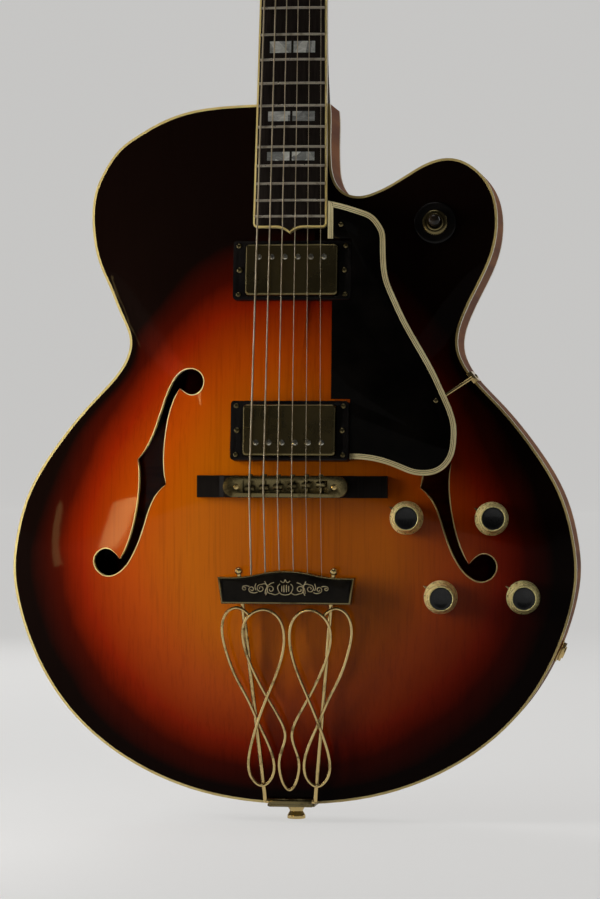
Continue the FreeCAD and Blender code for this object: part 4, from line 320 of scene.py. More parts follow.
def turned(name, steps, sides=TURNED_SIDES):
    """A piece turned about the upright axis through steps of radius and height, in millimetres."""
    clear_selection()
    radius, height = steps[0]
    bpy.ops.mesh.primitive_circle_add(
        vertices=sides, radius=radius * MM, fill_type="NGON", location=(0, 0, height * MM))
    piece = bpy.context.object
    piece.name = name
    settle(piece)
    edit_all(piece)
    for next_radius, next_height in steps[1:]:
        rise = (next_height - height) * MM
        share = next_radius / radius
        bpy.ops.mesh.extrude_region_move(TRANSFORM_OT_translate={"value": (0, 0, rise)})
        bpy.ops.transform.resize(value=(share, share, 1), center_override=(0, 0, next_height * MM))
        radius, height = next_radius, next_height
    return close_up(piece)


def slotted(piece, slot, floor, angles):
    """Cuts straight screwdriver slots across a turned head, down to a floor height."""
    long, wide, deep = slot
    for angle in angles:
        clear_selection()
        middle = (floor + deep / 2) * MM
        bpy.ops.mesh.primitive_cube_add(size=1, location=(0, 0, middle), rotation=(0, 0, angle))
        cutter = bpy.context.object
        cutter.scale = (long * MM, wide * MM, deep * MM)
        settle(cutter)
        cut = piece.modifiers.new("slot", "BOOLEAN")
        cut.object = cutter
        cut.operation = "DIFFERENCE"
        cut.solver = "EXACT"
        apply_modifier(piece, cut)
        bpy.data.objects.remove(cutter)
    return close_up(piece)


def knurled(piece, low, high):
    """Presses every second side face of a turned piece in, between two heights."""
    sides = []
    for face in piece.data.polygons:
        if low * MM < face.center.z < high * MM and abs(face.normal.z) < KNURL_TILT:
            sides.append((math.atan2(face.center.y, face.center.x), face.index))
    pressed = {index for _, index in sorted(sides)[1::2]}
    pick_faces(piece, lambda centre, normal, index: index in pressed)
    bpy.ops.mesh.inset(thickness=KNURL_INSET, depth=-KNURL_DEPTH, use_individual=True)
    return close_up(piece)


def standing(place, way):
    """The frame that stands on a place, with its upright axis along a way."""
    return Matrix.Translation(place) @ UP.rotation_difference(way).to_matrix().to_4x4()


def copied(piece, name, matrix):
    """A copy of a modelled piece with a mesh of its own, set in place."""
    twin = bpy.data.objects.new(name, piece.data.copy())
    bpy.context.scene.collection.objects.link(twin)
    twin.data.transform(matrix)
    return twin


def joined(name, pieces):
    """Several pieces made one."""
    clear_selection()
    for piece in pieces:
        piece.select_set(True)
    bpy.context.view_layer.objects.active = pieces[0]
    if len(pieces) > 1:
        bpy.ops.object.join()
    pieces[0].name = name
    return pieces[0]


def discard(piece):
    """Removes a pattern piece once its copies are made."""
    bpy.data.objects.remove(piece)


def new_lines(name, radius):
    """An empty drawing whose lines are round wires."""
    drawing = bpy.data.curves.new(name, "CURVE")
    drawing.dimensions = "3D"
    drawing.bevel_depth = radius
    drawing.bevel_resolution = LINE_ROUNDING
    drawing.use_fill_caps = True
    return drawing


def piped(name, drawing):
    """The piece that a drawing's lines make."""
    piece = bpy.data.objects.new(name, drawing)
    bpy.context.scene.collection.objects.link(piece)
    take_up(piece)
    bpy.ops.object.convert(target="MESH")
    bpy.ops.object.shade_smooth()
    return bpy.context.object


def dressed(piece, material, body, slot, *nodes):
    """Gives a piece its finish and the body it moves with, and hides the nodes it stands for; the slot is
    not used.
    """
    piece.data.materials.clear()
    piece.data.materials.append(material)
    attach(piece, body)
    if nodes:
        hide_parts(*nodes)
    return piece


def from_node(node, name):
    """A merged copy of a solid's mesh, as a piece of its own."""
    piece = copied(NODES[node], name, Matrix.Identity(4))
    take_up(piece)
    bpy.ops.mesh.customdata_custom_splitnormals_clear()
    edit_all(piece)
    bpy.ops.mesh.remove_doubles(threshold=MERGE_GAP)
    bpy.ops.mesh.dissolve_limited(angle_limit=FLAT_ANGLE)
    bpy.ops.object.mode_set(mode="OBJECT")
    return piece


# Shader helpers
def new_node(tree, kind, **settings):
    """Adds a shader node with its settings."""
    node = tree.nodes.new("ShaderNode" + kind)
    for key, value in settings.items():
        setattr(node, key, value)
    return node


def feed(tree, source, target):
    """Links an output to an input, or sets the input's own value."""
    if isinstance(source, bpy.types.NodeSocket):
        tree.links.new(source, target)
    else:
        target.default_value = source


def math_node(tree, operation, first, second=0.0, clamp=False):
    """One step of arithmetic."""
    node = new_node(tree, "Math", operation=operation, use_clamp=clamp)
    feed(tree, first, node.inputs[0])
    feed(tree, second, node.inputs[1])
    return node.outputs[0]


def summed(tree, *terms):
    """The sum of several values, each taken by its weight."""
    total = 0.0
    for value, weight in terms:
        total = math_node(tree, "ADD", math_node(tree, "MULTIPLY", value, weight), total)
    return total


def vector_node(tree, operation, first, second):
    """One step of vector arithmetic, as its vector and its value."""
    node = new_node(tree, "VectorMath", operation=operation)
    feed(tree, first, node.inputs[0])
    feed(tree, second, node.inputs[1])
    return node.outputs[0], node.outputs[1]


def noise(tree, place, scale, detail=4.0, roughness=0.55, distortion=0.0):
    """Cloudy noise on a place."""
    node = new_node(tree, "TexNoise")
    feed(tree, place, node.inputs["Vector"])
    node.inputs["Detail"].default_value = detail
    node.inputs["Roughness"].default_value = roughness
    node.inputs["Distortion"].default_value = distortion
    feed(tree, scale, node.inputs["Scale"])
    return node.outputs["Fac"]


def ramp(tree, value, stops, mode="LINEAR"):
    """A colour or grey ramp from (place, colour) stops."""
    node = new_node(tree, "ValToRGB")
    node.color_ramp.interpolation = mode
    points = node.color_ramp.elements
    while len(points) < len(stops):
        points.new(1.0)
    for point, (place, colour) in zip(points, stops):
        point.position = place
        point.color = colour if isinstance(colour, tuple) else (colour, colour, colour, 1)
    feed(tree, value, node.inputs["Fac"])
    return node.outputs["Color"]


def spread(tree, value, low, high, to_low=0.0, to_high=1.0):
    """Maps a value from one range to another, held at both ends."""
    node = new_node(tree, "MapRange", clamp=True)
    feed(tree, value, node.inputs["Value"])
    for key, amount in (("From Min", low), ("From Max", high), ("To Min", to_low), ("To Max", to_high)):
        feed(tree, amount, node.inputs[key])
    return node.outputs["Result"]


def blended(tree, share, first, second, way="MIX"):
    """Two colours mixed."""
    node = new_node(tree, "Mix", data_type="RGBA", blend_type=way)
    feed(tree, share, node.inputs["Factor"])
    for socket in node.inputs:
        if socket.type == "RGBA" and socket.name == "A":
            feed(tree, first, socket)
        if socket.type == "RGBA" and socket.name == "B":
            feed(tree, second, socket)
    return next(socket for socket in node.outputs if socket.type == "RGBA")


def mapped(tree, place, scale, turn=(0, 0, 0), move=(0, 0, 0)):
    """A stretched, turned or moved place."""
    node = new_node(tree, "Mapping")
    feed(tree, place, node.inputs["Vector"])
    node.inputs["Scale"].default_value = scale
    node.inputs["Rotation"].default_value = turn
    node.inputs["Location"].default_value = move
    return node.outputs["Vector"]


def object_place(tree):
    """Where a point is on the object."""
    return new_node(tree, "TexCoord").outputs["Object"]


def new_group(name, inputs, outputs):
    """An empty shader group with named inputs and outputs."""
    group = bpy.data.node_groups.new(name, "ShaderNodeTree")
    for label, kind, value in inputs:
        socket = group.interface.new_socket(label, in_out="INPUT", socket_type=kind)
        if value is not None:
            socket.default_value = value
    for label, kind in outputs:
        group.interface.new_socket(label, in_out="OUTPUT", socket_type=kind)
    return group, group.nodes.new("NodeGroupInput").outputs, group.nodes.new("NodeGroupOutput").inputs


def use_group(tree, group, **values):
    """Places a group in a material; names with spaces are written with underscores."""
    node = tree.nodes.new("ShaderNodeGroup")
    node.node_tree = group
    for key, value in values.items():
        feed(tree, value, node.inputs[key.replace("_", " ")])
    return node.outputs


# Handling wear: detail and roughness of the noise, and the part of its range that shows
CLOUD_DETAIL = (6.0, 0.62)
CLOUD_RANGE = (0.36, 0.66)
SCRATCH_DETAIL = (3.0, 0.5)
# stretch, turn and range of each set of scratches
SCRATCH_SETS = (
    ((26, 26, 1.2), (0.3, 0.9, 0.5), (0.64, 0.74)),
    ((1.4, 22, 22), (0.7, -0.4, 1.1), (0.66, 0.76)),
)

# Wood: detail, roughness and distortion of the wide and the fine lines, and of the figure
WIDE_LINES = (3.0, 0.6, 0.1)
FINE_LINES = (2.0, 0.5)
FINE_LINES_SCALE = 3.1
WIDE_SHARE = 0.65
FINE_SHARE = 0.35
FLAME_DETAIL = (2.5, 0.45, 0.4)
WOOD_RANGE = (0.36, 0.64)
MID_GREY = 0.5

# Burst: clouds in its outline, and how softly the edge shade runs into the round one
BURST_CLOUDS = (9.0, 3.0)
BURST_CLOUD_SHARE = 0.10
BURST_BLEND = 0.12


def make_wear_group():
    """Cloudy handling marks and fine crossing scratches."""
    group, given, made = new_group(
        "handling_wear",
        (("Place", "NodeSocketVector", None), ("Scale", "NodeSocketFloat", 1.0),
         ("Amount", "NodeSocketFloat", 1.0)),
        (("Clouds", "NodeSocketFloat"), ("Scratches", "NodeSocketFloat")))
    clouds = noise(group, given["Place"], given["Scale"], *CLOUD_DETAIL)
    clouds = spread(group, clouds, *CLOUD_RANGE)
    feed(group, math_node(group, "MULTIPLY", clouds, given["Amount"]), made["Clouds"])
    lines = []
    for stretch, turn, limits in SCRATCH_SETS:
        stretched = mapped(group, given["Place"], stretch, turn)
        streaks = noise(group, stretched, given["Scale"], *SCRATCH_DETAIL)
        lines.append(spread(group, streaks, *limits))
    scratches = math_node(group, "MAXIMUM", *lines)
    feed(group, math_node(group, "MULTIPLY", scratches, given["Amount"]), made["Scratches"])
    return group


def make_grain_group():
    """Fine growth lines along a place that is already stretched, with pores."""
    group, given, made = new_group(
        "wood_grain",
        (("Place", "NodeSocketVector", None), ("Lines", "NodeSocketFloat", 1.0),
         ("Contrast", "NodeSocketFloat", 1.0)),
        (("Streak", "NodeSocketFloat"), ("Height", "NodeSocketFloat")))
    wide = noise(group, given["Place"], given["Lines"], *WIDE_LINES)
    fine_scale = math_node(group, "MULTIPLY", given["Lines"], FINE_LINES_SCALE)
    fine = noise(group, given["Place"], fine_scale, *FINE_LINES)
    streak = spread(group, summed(group, (wide, WIDE_SHARE), (fine, FINE_SHARE)), *WOOD_RANGE)
    centred = math_node(group, "SUBTRACT", streak, MID_GREY)
    contrasted = math_node(group, "MULTIPLY", centred, given["Contrast"])
    feed(group, math_node(group, "ADD", contrasted, MID_GREY), made["Streak"])
    feed(group, streak, made["Height"])
    return group


def make_burst_group():
    """How far the stain has darkened: none in the middle of the lower bout, full at the edges."""
    group, given, made = new_group(
        "burst_shade",
        (("Place", "NodeSocketVector", None), ("Middle", "NodeSocketVector", (0, 0, 0)),
         ("Across", "NodeSocketFloat", 1.0), ("Down", "NodeSocketFloat", 1.0),
         ("Up", "NodeSocketFloat", 1.0), ("Taper", "NodeSocketFloat", 0.0),
         ("Arch rise", "NodeSocketFloat", 0.0), ("Edge rise", "NodeSocketFloat", 1.0)),
        (("Shade", "NodeSocketFloat"),))
    offset, _ = vector_node(group, "SUBTRACT", given["Place"], given["Middle"])
    apart = new_node(group, "SeparateXYZ")
    feed(group, offset, apart.inputs[0])
    above = math_node(group, "MAXIMUM", apart.outputs["Z"], 0.0)
    below = math_node(group, "MINIMUM", apart.outputs["Z"], 0.0)
    narrowing = math_node(group, "ADD", math_node(group, "MULTIPLY", above, given["Taper"]), 1.0)
    across = math_node(group, "MULTIPLY", apart.outputs["X"], given["Across"])
    across = math_node(group, "MULTIPLY", across, narrowing)
    along = summed(group, (above, given["Up"]), (below, given["Down"]))
    spot = new_node(group, "CombineXYZ")
    feed(group, across, spot.inputs["X"])
    feed(group, along, spot.inputs["Z"])
    far = vector_node(group, "LENGTH", spot.outputs[0], (0, 0, 0))[1]
    cloud = math_node(group, "SUBTRACT", noise(group, given["Place"], *BURST_CLOUDS), MID_GREY)
    far = math_node(group, "ADD", far, math_node(group, "MULTIPLY", cloud, BURST_CLOUD_SHARE))
    edge = spread(group, given["Arch rise"], 0.0, given["Edge rise"], 1.0, 0.0)
    edge = math_node(group, "MULTIPLY", edge, edge)
    shade = new_node(group, "Math", operation="SMOOTH_MAX", use_clamp=True)
    feed(group, far, shade.inputs[0])
    feed(group, edge, shade.inputs[1])
    shade.inputs[2].default_value = BURST_BLEND
    feed(group, shade.outputs[0], made["Shade"])
    return group


def make_flame_group():
    """Figure of curly maple: soft bands across a place that is already stretched."""
    group, given, made = new_group(
        "flame_figure",
        (("Place", "NodeSocketVector", None), ("Bands", "NodeSocketFloat", 1.0)),
        (("Flame", "NodeSocketFloat"),))
    bands = noise(group, given["Place"], given["Bands"], *FLAME_DETAIL)
    feed(group, spread(group, bands, *WOOD_RANGE), made["Flame"])
    return group


WEAR = make_wear_group()
GRAIN = make_grain_group()
BURST = make_burst_group()
FLAME = make_flame_group()


def new_material(name, **constants):
    """An empty material with one shader, with plain numbers set on the shader's own sockets."""
    material = bpy.data.materials.new(name)
    material.use_nodes = True
    tree = material.node_tree
    shader = tree.nodes["Principled BSDF"]
    for key, value in constants.items():
        shader.inputs[key.replace("_", " ")].default_value = value
    return material, tree, shader.inputs


def bump(tree, height, distance, strength=1.0):
    """A bump from a height."""
    node = new_node(tree, "Bump")
    node.inputs["Strength"].default_value = strength
    node.inputs["Distance"].default_value = distance
    feed(tree, height, node.inputs["Height"])
    return node.outputs["Normal"]


AMBER = (0.60, 0.140, 0.0016, 1)
ORANGE = (0.50, 0.070, 0.0012, 1)
RUST = (0.27, 0.015, 0.0009, 1)
GARNET = (0.060, 0.0042, 0.0010, 1)
UMBER = (0.0062, 0.0027, 0.0018, 1)
WHITE = (1, 1, 1, 1)
BURST_STOPS = ((0.0, AMBER), (0.38, AMBER), (0.60, ORANGE), (0.79, RUST), (0.89, GARNET), (1.0, UMBER))
BURST_TINT = ((0.0, (0.62, 0.56, 0.50, 1)), (0.5, (0.95, 0.94, 0.92, 1)), (1.0, WHITE))
BURST_MIDDLE = (-0.002, 0, 0.192)
BURST_REACH = {"Across": 4.95, "Down": 5.32, "Up": 4.1, "Taper": 1.35, "Edge_rise": 6.2 * MM}
PLATE_EDGE = 30.2 * MM
# range of the burst's shade, and the coat's weight at either end of it
BURST_COAT = (0.62, 0.84, 0.30, 0.06)
TOP_GRAIN = {"Lines": 420.0, "Contrast": 0.42}
TOP_GRAIN_STRETCH = (1, 1, 0.012)
BACK_BANDS = 75.0
BACK_STRETCH = (0.16, 0.16, 1)
MAPLE_GRAIN = {"Lines": 300.0, "Contrast": 0.6}
MAPLE_TINT = ((0.0, (0.72, 0.68, 0.64, 1)), (1.0, WHITE))
BARE_GRAIN = {"Lines": 260.0, "Contrast": 0.8}
BARE_STOPS = ((0.0, (0.10, 0.058, 0.026, 1)), (1.0, (0.19, 0.12, 0.06, 1)))
EBONY_GRAIN = {"Lines": 520.0, "Contrast": 0.9}
GRAIN_STRETCH = (1, 1, 0.02)
BARE_STRETCH = (1, 1, 0.03)
BARE_BUMP = 0.05 * MM
EBONY_BUMP = 0.03 * MM
EBONY_BUMP_STRENGTH = 0.6
EBONY_SPECULAR = 0.06
# scale and amount of the wear on each kind of surface
BURST_WEAR = {"Scale": 26.0, "Amount": 0.6}
MAPLE_WEAR = {"Scale": 30.0, "Amount": 0.6}
CELLULOID_WEAR = {"Scale": 34.0, "Amount": 1.0}
PLASTIC_WEAR = {"Scale": 44.0, "Amount": 1.0}
CAP_WEAR = {"Scale": 70.0, "Amount": 1.0}
# value range, then the roughness at either end of it
BURST_GLOSS = (0.0, 0.6, 0.30, 0.42)
MAPLE_GLOSS = (0.0, 0.6, 0.28, 0.42)
BARE_GLOSS = (0.0, 1.0, 0.62, 0.78)
PEARL_GLOSS = (0.3, 0.7, 0.16, 0.34)
WIRE_GLOSS = (0.3, 0.7, 0.30, 0.42)
CAP_GLOSS = (0.3, 0.7, 0.22, 0.34)
EBONY_GLOSS_SWING = 0.07
CELLULOID_SCRATCH = 0.18
# how far clouds and scratches roughen plating and plastic
PLATING_CLOUDS = 0.18
PLATING_SCRATCHES = 0.12
PLATING_BRIGHT_END = 0.55
PLASTIC_CLOUDS = 0.10
PLASTIC_SCRATCHES = 0.22
# pearl: stretch and turn of its cells and of its swirl
PEARL_CELLS = ((1.0, 1.0, 0.7), (0.2, 0.5, 0.35))
PEARL_CELL_SCALE = 130.0
PEARL_CELL_SHARE = 0.55
PEARL_SWIRL = ((1, 1, 2.2), (0.3, 0.8, 0.2))
PEARL_SWIRL_DETAIL = (120.0, 5.0, 0.6, 1.4)
PEARL_SWIRL_SHARE = 0.5
PEARL_STOPS = (
    (0.15, (0.10, 0.105, 0.10, 1)), (0.42, (0.28, 0.285, 0.27, 1)),
    (0.62, (0.50, 0.50, 0.46, 1)), (0.85, (0.76, 0.75, 0.69, 1)),
)
WIRE_TONES = (90.0, 3.0)
WIRE_STOPS = ((0.3, (0.36, 0.29, 0.18, 1)), (0.7, (0.57, 0.47, 0.32, 1)))
WIRE_RIBS = 640.0
WIRE_RIB_DEPTH = 0.06 * MM
WIRE_RIB_STRENGTH = 0.7
CAP_GRAIN = (2400.0, 2.0)
CAP_STOPS = ((0.0, (0.027, 0.028, 0.028, 1)), (1.0, (0.016, 0.016, 0.016, 1)))


def burst_lacquer(name, front):
    """Sunburst stain under gloss lacquer, on the top or on the back."""
    material, tree, shader = new_material(name, Coat_Roughness=0.045, Coat_IOR=1.38, Specular_IOR_Level=0.0)
    place = object_place(tree)
    apart = new_node(tree, "SeparateXYZ")
    feed(tree, place, apart.inputs[0])
    depth = math_node(tree, "MULTIPLY", apart.outputs["Y"], -1.0 if front else 1.0)
    rise = math_node(tree, "SUBTRACT", depth, PLATE_EDGE)
    burst = use_group(tree, BURST, Place=place, Middle=BURST_MIDDLE, Arch_rise=rise, **BURST_REACH)
    shade = burst["Shade"]
    stain = ramp(tree, shade, BURST_STOPS)
    if front:
        figure = use_group(tree, GRAIN, Place=mapped(tree, place, TOP_GRAIN_STRETCH), **TOP_GRAIN)["Streak"]
    else:
        figure = use_group(tree, FLAME, Place=mapped(tree, place, BACK_STRETCH), Bands=BACK_BANDS)["Flame"]
    tint = ramp(tree, figure, BURST_TINT)
    feed(tree, blended(tree, 1.0, stain, tint, "MULTIPLY"), shader["Base Color"])
    feed(tree, spread(tree, shade, *BURST_COAT), shader["Coat Weight"])
    wear = use_group(tree, WEAR, Place=place, **BURST_WEAR)
    feed(tree, spread(tree, wear["Clouds"], *BURST_GLOSS), shader["Roughness"])
    return material


def maple_lacquer(name, stretch, bands, light, dark):
    """Stained curly maple under gloss lacquer."""
    material, tree, shader = new_material(
        name, Coat_Weight=0.10, Coat_Roughness=0.10, Specular_IOR_Level=0.0)
    place = object_place(tree)
    flame = use_group(tree, FLAME, Place=mapped(tree, place, stretch), Bands=bands)["Flame"]
    grain = use_group(tree, GRAIN, Place=mapped(tree, place, GRAIN_STRETCH), **MAPLE_GRAIN)["Streak"]
    colour = ramp(tree, flame, ((0.0, dark), (1.0, light)))
    tint = ramp(tree, grain, MAPLE_TINT)
    feed(tree, blended(tree, 1.0, colour, tint, "MULTIPLY"), shader["Base Color"])
    wear = use_group(tree, WEAR, Place=place, **MAPLE_WEAR)
    feed(tree, spread(tree, wear["Clouds"], *MAPLE_GLOSS), shader["Roughness"])
    return material


def bare_wood(name):
    """Unfinished wood inside the box."""
    material, tree, shader = new_material(name)
    place = object_place(tree)
    grain = use_group(tree, GRAIN, Place=mapped(tree, place, BARE_STRETCH), **BARE_GRAIN)
    feed(tree, ramp(tree, grain["Streak"], BARE_STOPS), shader["Base Color"])
    feed(tree, spread(tree, grain["Height"], *BARE_GLOSS), shader["Roughness"])
    feed(tree, bump(tree, grain["Height"], BARE_BUMP), shader["Normal"])
    return material


def aged_plastic(name, fresh, yellowed, rough, coat):
    """Celluloid with cloudy ageing and faint handling marks."""
    material, tree, shader = new_material(name, Coat_Weight=coat, Coat_Roughness=0.08)
    place = object_place(tree)
    wear = use_group(tree, WEAR, Place=place, **CELLULOID_WEAR)
    feed(tree, ramp(tree, wear["Clouds"], ((0.0, fresh), (1.0, yellowed))), shader["Base Color"])
    sheen = spread(tree, wear["Scratches"], 0.0, 1.0, rough, rough + CELLULOID_SCRATCH)
    feed(tree, sheen, shader["Roughness"])
    return material


def dark_wood(name, dark, light, rough):
    """Close-grained black wood along the neck."""
    material, tree, shader = new_material(name, Specular_IOR_Level=EBONY_SPECULAR)
    place = object_place(tree)
    grain = use_group(tree, GRAIN, Place=mapped(tree, place, GRAIN_STRETCH), **EBONY_GRAIN)
    feed(tree, ramp(tree, grain["Streak"], ((0.0, dark), (1.0, light))), shader["Base Color"])
    sheen = spread(tree, grain["Height"], 0.0, 1.0, rough - EBONY_GLOSS_SWING, rough + EBONY_GLOSS_SWING)
    feed(tree, sheen, shader["Roughness"])
    feed(tree, bump(tree, grain["Height"], EBONY_BUMP, EBONY_BUMP_STRENGTH), shader["Normal"])
    return material


def cloudy_pearl(name):
    """Pearl in cloudy bands that catch the light in turn."""
    material, tree, shader = new_material(name, Coat_Weight=0.6, Coat_Roughness=0.05)
    place = object_place(tree)
    cells = new_node(tree, "TexVoronoi")
    feed(tree, mapped(tree, place, *PEARL_CELLS), cells.inputs["Vector"])
    cells.inputs["Scale"].default_value = PEARL_CELL_SCALE
    grey = new_node(tree, "SeparateColor")
    feed(tree, cells.outputs["Color"], grey.inputs[0])
    swirl = noise(tree, mapped(tree, place, *PEARL_SWIRL), *PEARL_SWIRL_DETAIL)
    mixture = summed(tree, (grey.outputs[0], PEARL_CELL_SHARE), (swirl, PEARL_SWIRL_SHARE))
    feed(tree, ramp(tree, mixture, PEARL_STOPS), shader["Base Color"])
    feed(tree, spread(tree, swirl, *PEARL_GLOSS), shader["Roughness"])
    return material


def plated(name, bright, dull, rough, scale, metallic=1.0):
    """Worn plating: bright where it is rubbed, dull and brown where it has tarnished."""
    material, tree, shader = new_material(name, Metallic=metallic)
    place = object_place(tree)
    wear = use_group(tree, WEAR, Place=place, Scale=scale, Amount=1.0)
    colour = ramp(tree, wear["Clouds"], ((0.0, bright), (PLATING_BRIGHT_END, bright), (1.0, dull)))
    feed(tree, colour, shader["Base Color"])
    marks = summed(tree, (wear["Clouds"], PLATING_CLOUDS), (wear["Scratches"], PLATING_SCRATCHES))
    feed(tree, math_node(tree, "ADD", marks, rough), shader["Roughness"])
    return material


def gloss_plastic(name, colour, worn, rough, coat):
    """Polished black or dark plastic with faint scratches."""
    material, tree, shader = new_material(
        name, Coat_Weight=coat, Coat_Roughness=0.05, Coat_IOR=1.4, Specular_IOR_Level=0.0)
    wear = use_group(tree, WEAR, Place=object_place(tree), **PLASTIC_WEAR)
    feed(tree, ramp(tree, wear["Clouds"], ((0.0, colour), (1.0, worn))), shader["Base Color"])
    marks = summed(tree, (wear["Clouds"], PLASTIC_CLOUDS), (wear["Scratches"], PLASTIC_SCRATCHES))
    feed(tree, math_node(tree, "ADD", marks, rough), shader["Roughness"])
    return material


def wound_wire(name):
    """String wire with the fine ribs of its winding."""
    material, tree, shader = new_material(name, Metallic=0.55)
    place = object_place(tree)
    ribs = new_node(tree, "TexWave", bands_direction="Z", wave_profile="SIN")
    feed(tree, place, ribs.inputs["Vector"])
    ribs.inputs["Scale"].default_value = WIRE_RIBS
    tone = noise(tree, place, *WIRE_TONES)
    feed(tree, ramp(tree, tone, WIRE_STOPS), shader["Base Color"])
    feed(tree, spread(tree, tone, *WIRE_GLOSS), shader["Roughness"])
    feed(tree, bump(tree, ribs.outputs["Fac"], WIRE_RIB_DEPTH, WIRE_RIB_STRENGTH), shader["Normal"])
    return material


def brushed_cap(name):
    """Spun metal of the knob caps, with fine rings."""
    material, tree, shader = new_material(name, Metallic=0.9, Coat_Weight=0.2, Coat_Roughness=0.05)
    place = object_place(tree)
    grain = noise(tree, place, *CAP_GRAIN)
    wear = use_group(tree, WEAR, Place=place, **CAP_WEAR)
    feed(tree, ramp(tree, wear["Clouds"], CAP_STOPS), shader["Base Color"])
    feed(tree, spread(tree, grain, *CAP_GLOSS), shader["Roughness"])
    return material


TOP_LACQUER = burst_lacquer("burst_top", True)
BACK_LACQUER = burst_lacquer("burst_back", False)
RIM_MAPLE = maple_lacquer("rim_maple", (1, 0.06, 1), 62.0, (0.40, 0.135, 0.026, 1), (0.23, 0.060, 0.011, 1))
NECK_MAPLE = maple_lacquer(
    "neck_maple", (0.2, 0.2, 1), 70.0, (0.065, 0.022, 0.008, 1), (0.034, 0.010, 0.004, 1))
INNER_WOOD = bare_wood("inner_wood")
CREAM = aged_plastic("cream_celluloid", (0.80, 0.64, 0.25, 1), (0.64, 0.47, 0.16, 1), 0.30, 0.3)
GUARD_EDGE = aged_plastic("guard_edge_celluloid", (0.80, 0.70, 0.39, 1), (0.66, 0.54, 0.27, 1), 0.28, 0.3)
EBONY = dark_wood("ebony", (0.004, 0.003, 0.0026, 1), (0.010, 0.0075, 0.006, 1), 0.40)
BOARD_EBONY = dark_wood("board_ebony", (0.008, 0.006, 0.005, 1), (0.020, 0.015, 0.012, 1), 0.40)
FACING = gloss_plastic("head_facing", (0.006, 0.005, 0.005, 1), (0.012, 0.010, 0.009, 1), 0.16, 0.6)
PEARL = cloudy_pearl("pearl")
FRET_WIRE = plated("fret_wire", (0.36, 0.32, 0.25, 1), (0.20, 0.17, 0.125, 1), 0.26, 160.0, 0.75)
BONE = aged_plastic("bone", (0.74, 0.66, 0.48, 1), (0.62, 0.52, 0.34, 1), 0.34, 0.1)
GOLD = plated("gold_plate", (0.58, 0.43, 0.185, 1), (0.24, 0.165, 0.065, 1), 0.13, 90.0)
BRONZE = plated("worn_bronze", (0.165, 0.132, 0.060, 1), (0.05, 0.038, 0.017, 1), 0.18, 70.0)
NICKEL = plated("worn_nickel", (0.50, 0.475, 0.39, 1), (0.28, 0.25, 0.18, 1), 0.16, 140.0)
PALE_GOLD = plated("pale_gold", (0.60, 0.50, 0.29, 1), (0.36, 0.28, 0.14, 1), 0.30, 200.0, 0.6)
COVER_METAL = plated("cover_plate", (0.155, 0.124, 0.056, 1), (0.115, 0.088, 0.038, 1), 0.20, 16.0)
KNOB_GOLD = plated("knob_gold", (0.95, 0.84, 0.37, 1), (0.62, 0.50, 0.18, 1), 0.20, 170.0, 0.35)
KNOB_CAP = brushed_cap("knob_cap")
NUMBER_INK = gloss_plastic("number_ink", (0.010, 0.009, 0.008, 1), (0.03, 0.025, 0.02, 1), 0.4, 0.0)
BLACK_PLASTIC = gloss_plastic(
    "black_plastic", (0.005, 0.0045, 0.0045, 1), (0.012, 0.010, 0.009, 1), 0.20, 0.3)
GUARD_PLASTIC = gloss_plastic(
    "guard_plastic", (0.0016, 0.0015, 0.0012, 1), (0.004, 0.0033, 0.0027, 1), 0.20, 0.06)
LEVER_PLASTIC = gloss_plastic("lever_plastic", (0.012, 0.008, 0.006, 1), (0.03, 0.02, 0.012, 1), 0.12, 0.8)
PANEL_BLACK = gloss_plastic("panel_black", (0.006, 0.005, 0.004, 1), (0.016, 0.013, 0.009, 1), 0.26, 0.15)
STRING_WIRE = wound_wire("string_wire")
STEEL = plated("steel", (0.50, 0.50, 0.50, 1), (0.32, 0.31, 0.29, 1), 0.32, 80.0)
COIL_PLASTIC = gloss_plastic("coil_plastic", (0.02, 0.02, 0.02, 1), (0.05, 0.05, 0.05, 1), 0.5, 0.0)

# Solids that keep their shape, by finish
FINISHES = (
    (TOP_LACQUER, ("top_plate",)),
    (BACK_LACQUER, ("back_plate",)),
    (RIM_MAPLE, ("bass_rim", "treble_rim")),
    (NECK_MAPLE, ("neck",)),
    (INNER_WOOD, ("linings", "end_blocks", "tone_bars")),
    (CREAM, ("body_bindings", "f_hole_bindings", "fingerboard_binding")),
    (BOARD_EBONY, ("fingerboard",)),
    (FACING, ("headstock_veneer",)),
    (PEARL, ("position_inlays",)),
    (FRET_WIRE, ("frets",)),
    (COVER_METAL, ("pickup_covers",)),
    (COIL_PLASTIC, ("pickup_coils",)),
    (STEEL, ("truss_rod", "potentiometers")),
    (STRING_WIRE, ("string_windings",)),
    (GOLD, ("tail_wire", "tuner_housings")),
    (GOLD, tuple("tuner_post_%d" % number for number in range(1, 7))),
    (GOLD, tuple("tuner_button_%d" % number for number in range(1, 7))),
)
for finish, names in FINISHES:
    for node_name in names:
        for material_slot in NODES[node_name].material_slots:
            material_slot.material = finish

SOFT_FINISHES = {
    "bridge_base": (EBONY, "ebony"), "bridge_body": (BRONZE, "gold"), "bridge_saddles": (BRONZE, "gold"),
    "pickup_rings": (BLACK_PLASTIC, "black_plastic"), "truss_rod_cover": (BLACK_PLASTIC, "black_plastic"),
    "nut": (BONE, "bone"), "tail_bracket": (BRONZE, "gold"), "pickguard": (GUARD_PLASTIC, "black_plastic"),
    "strap_buttons": (GOLD, "gold"), "output_jack": (GOLD, "gold"), "pickguard_bracket": (GOLD, "gold"),
    "control_pointers": (GOLD, "gold"), "heel_cap": (CREAM, "cream_binding"),
}


def make_softened():
    """Cut and cast pieces with their edges eased."""
    for node, width, segments in SOFTENED:
        piece = from_node(node, "eased_" + node)
        bevel_edges(piece, width * MM, segments)
        material, slot = SOFT_FINISHES[node]
        dressed(smoothed(piece), material, "guitar", slot, node)


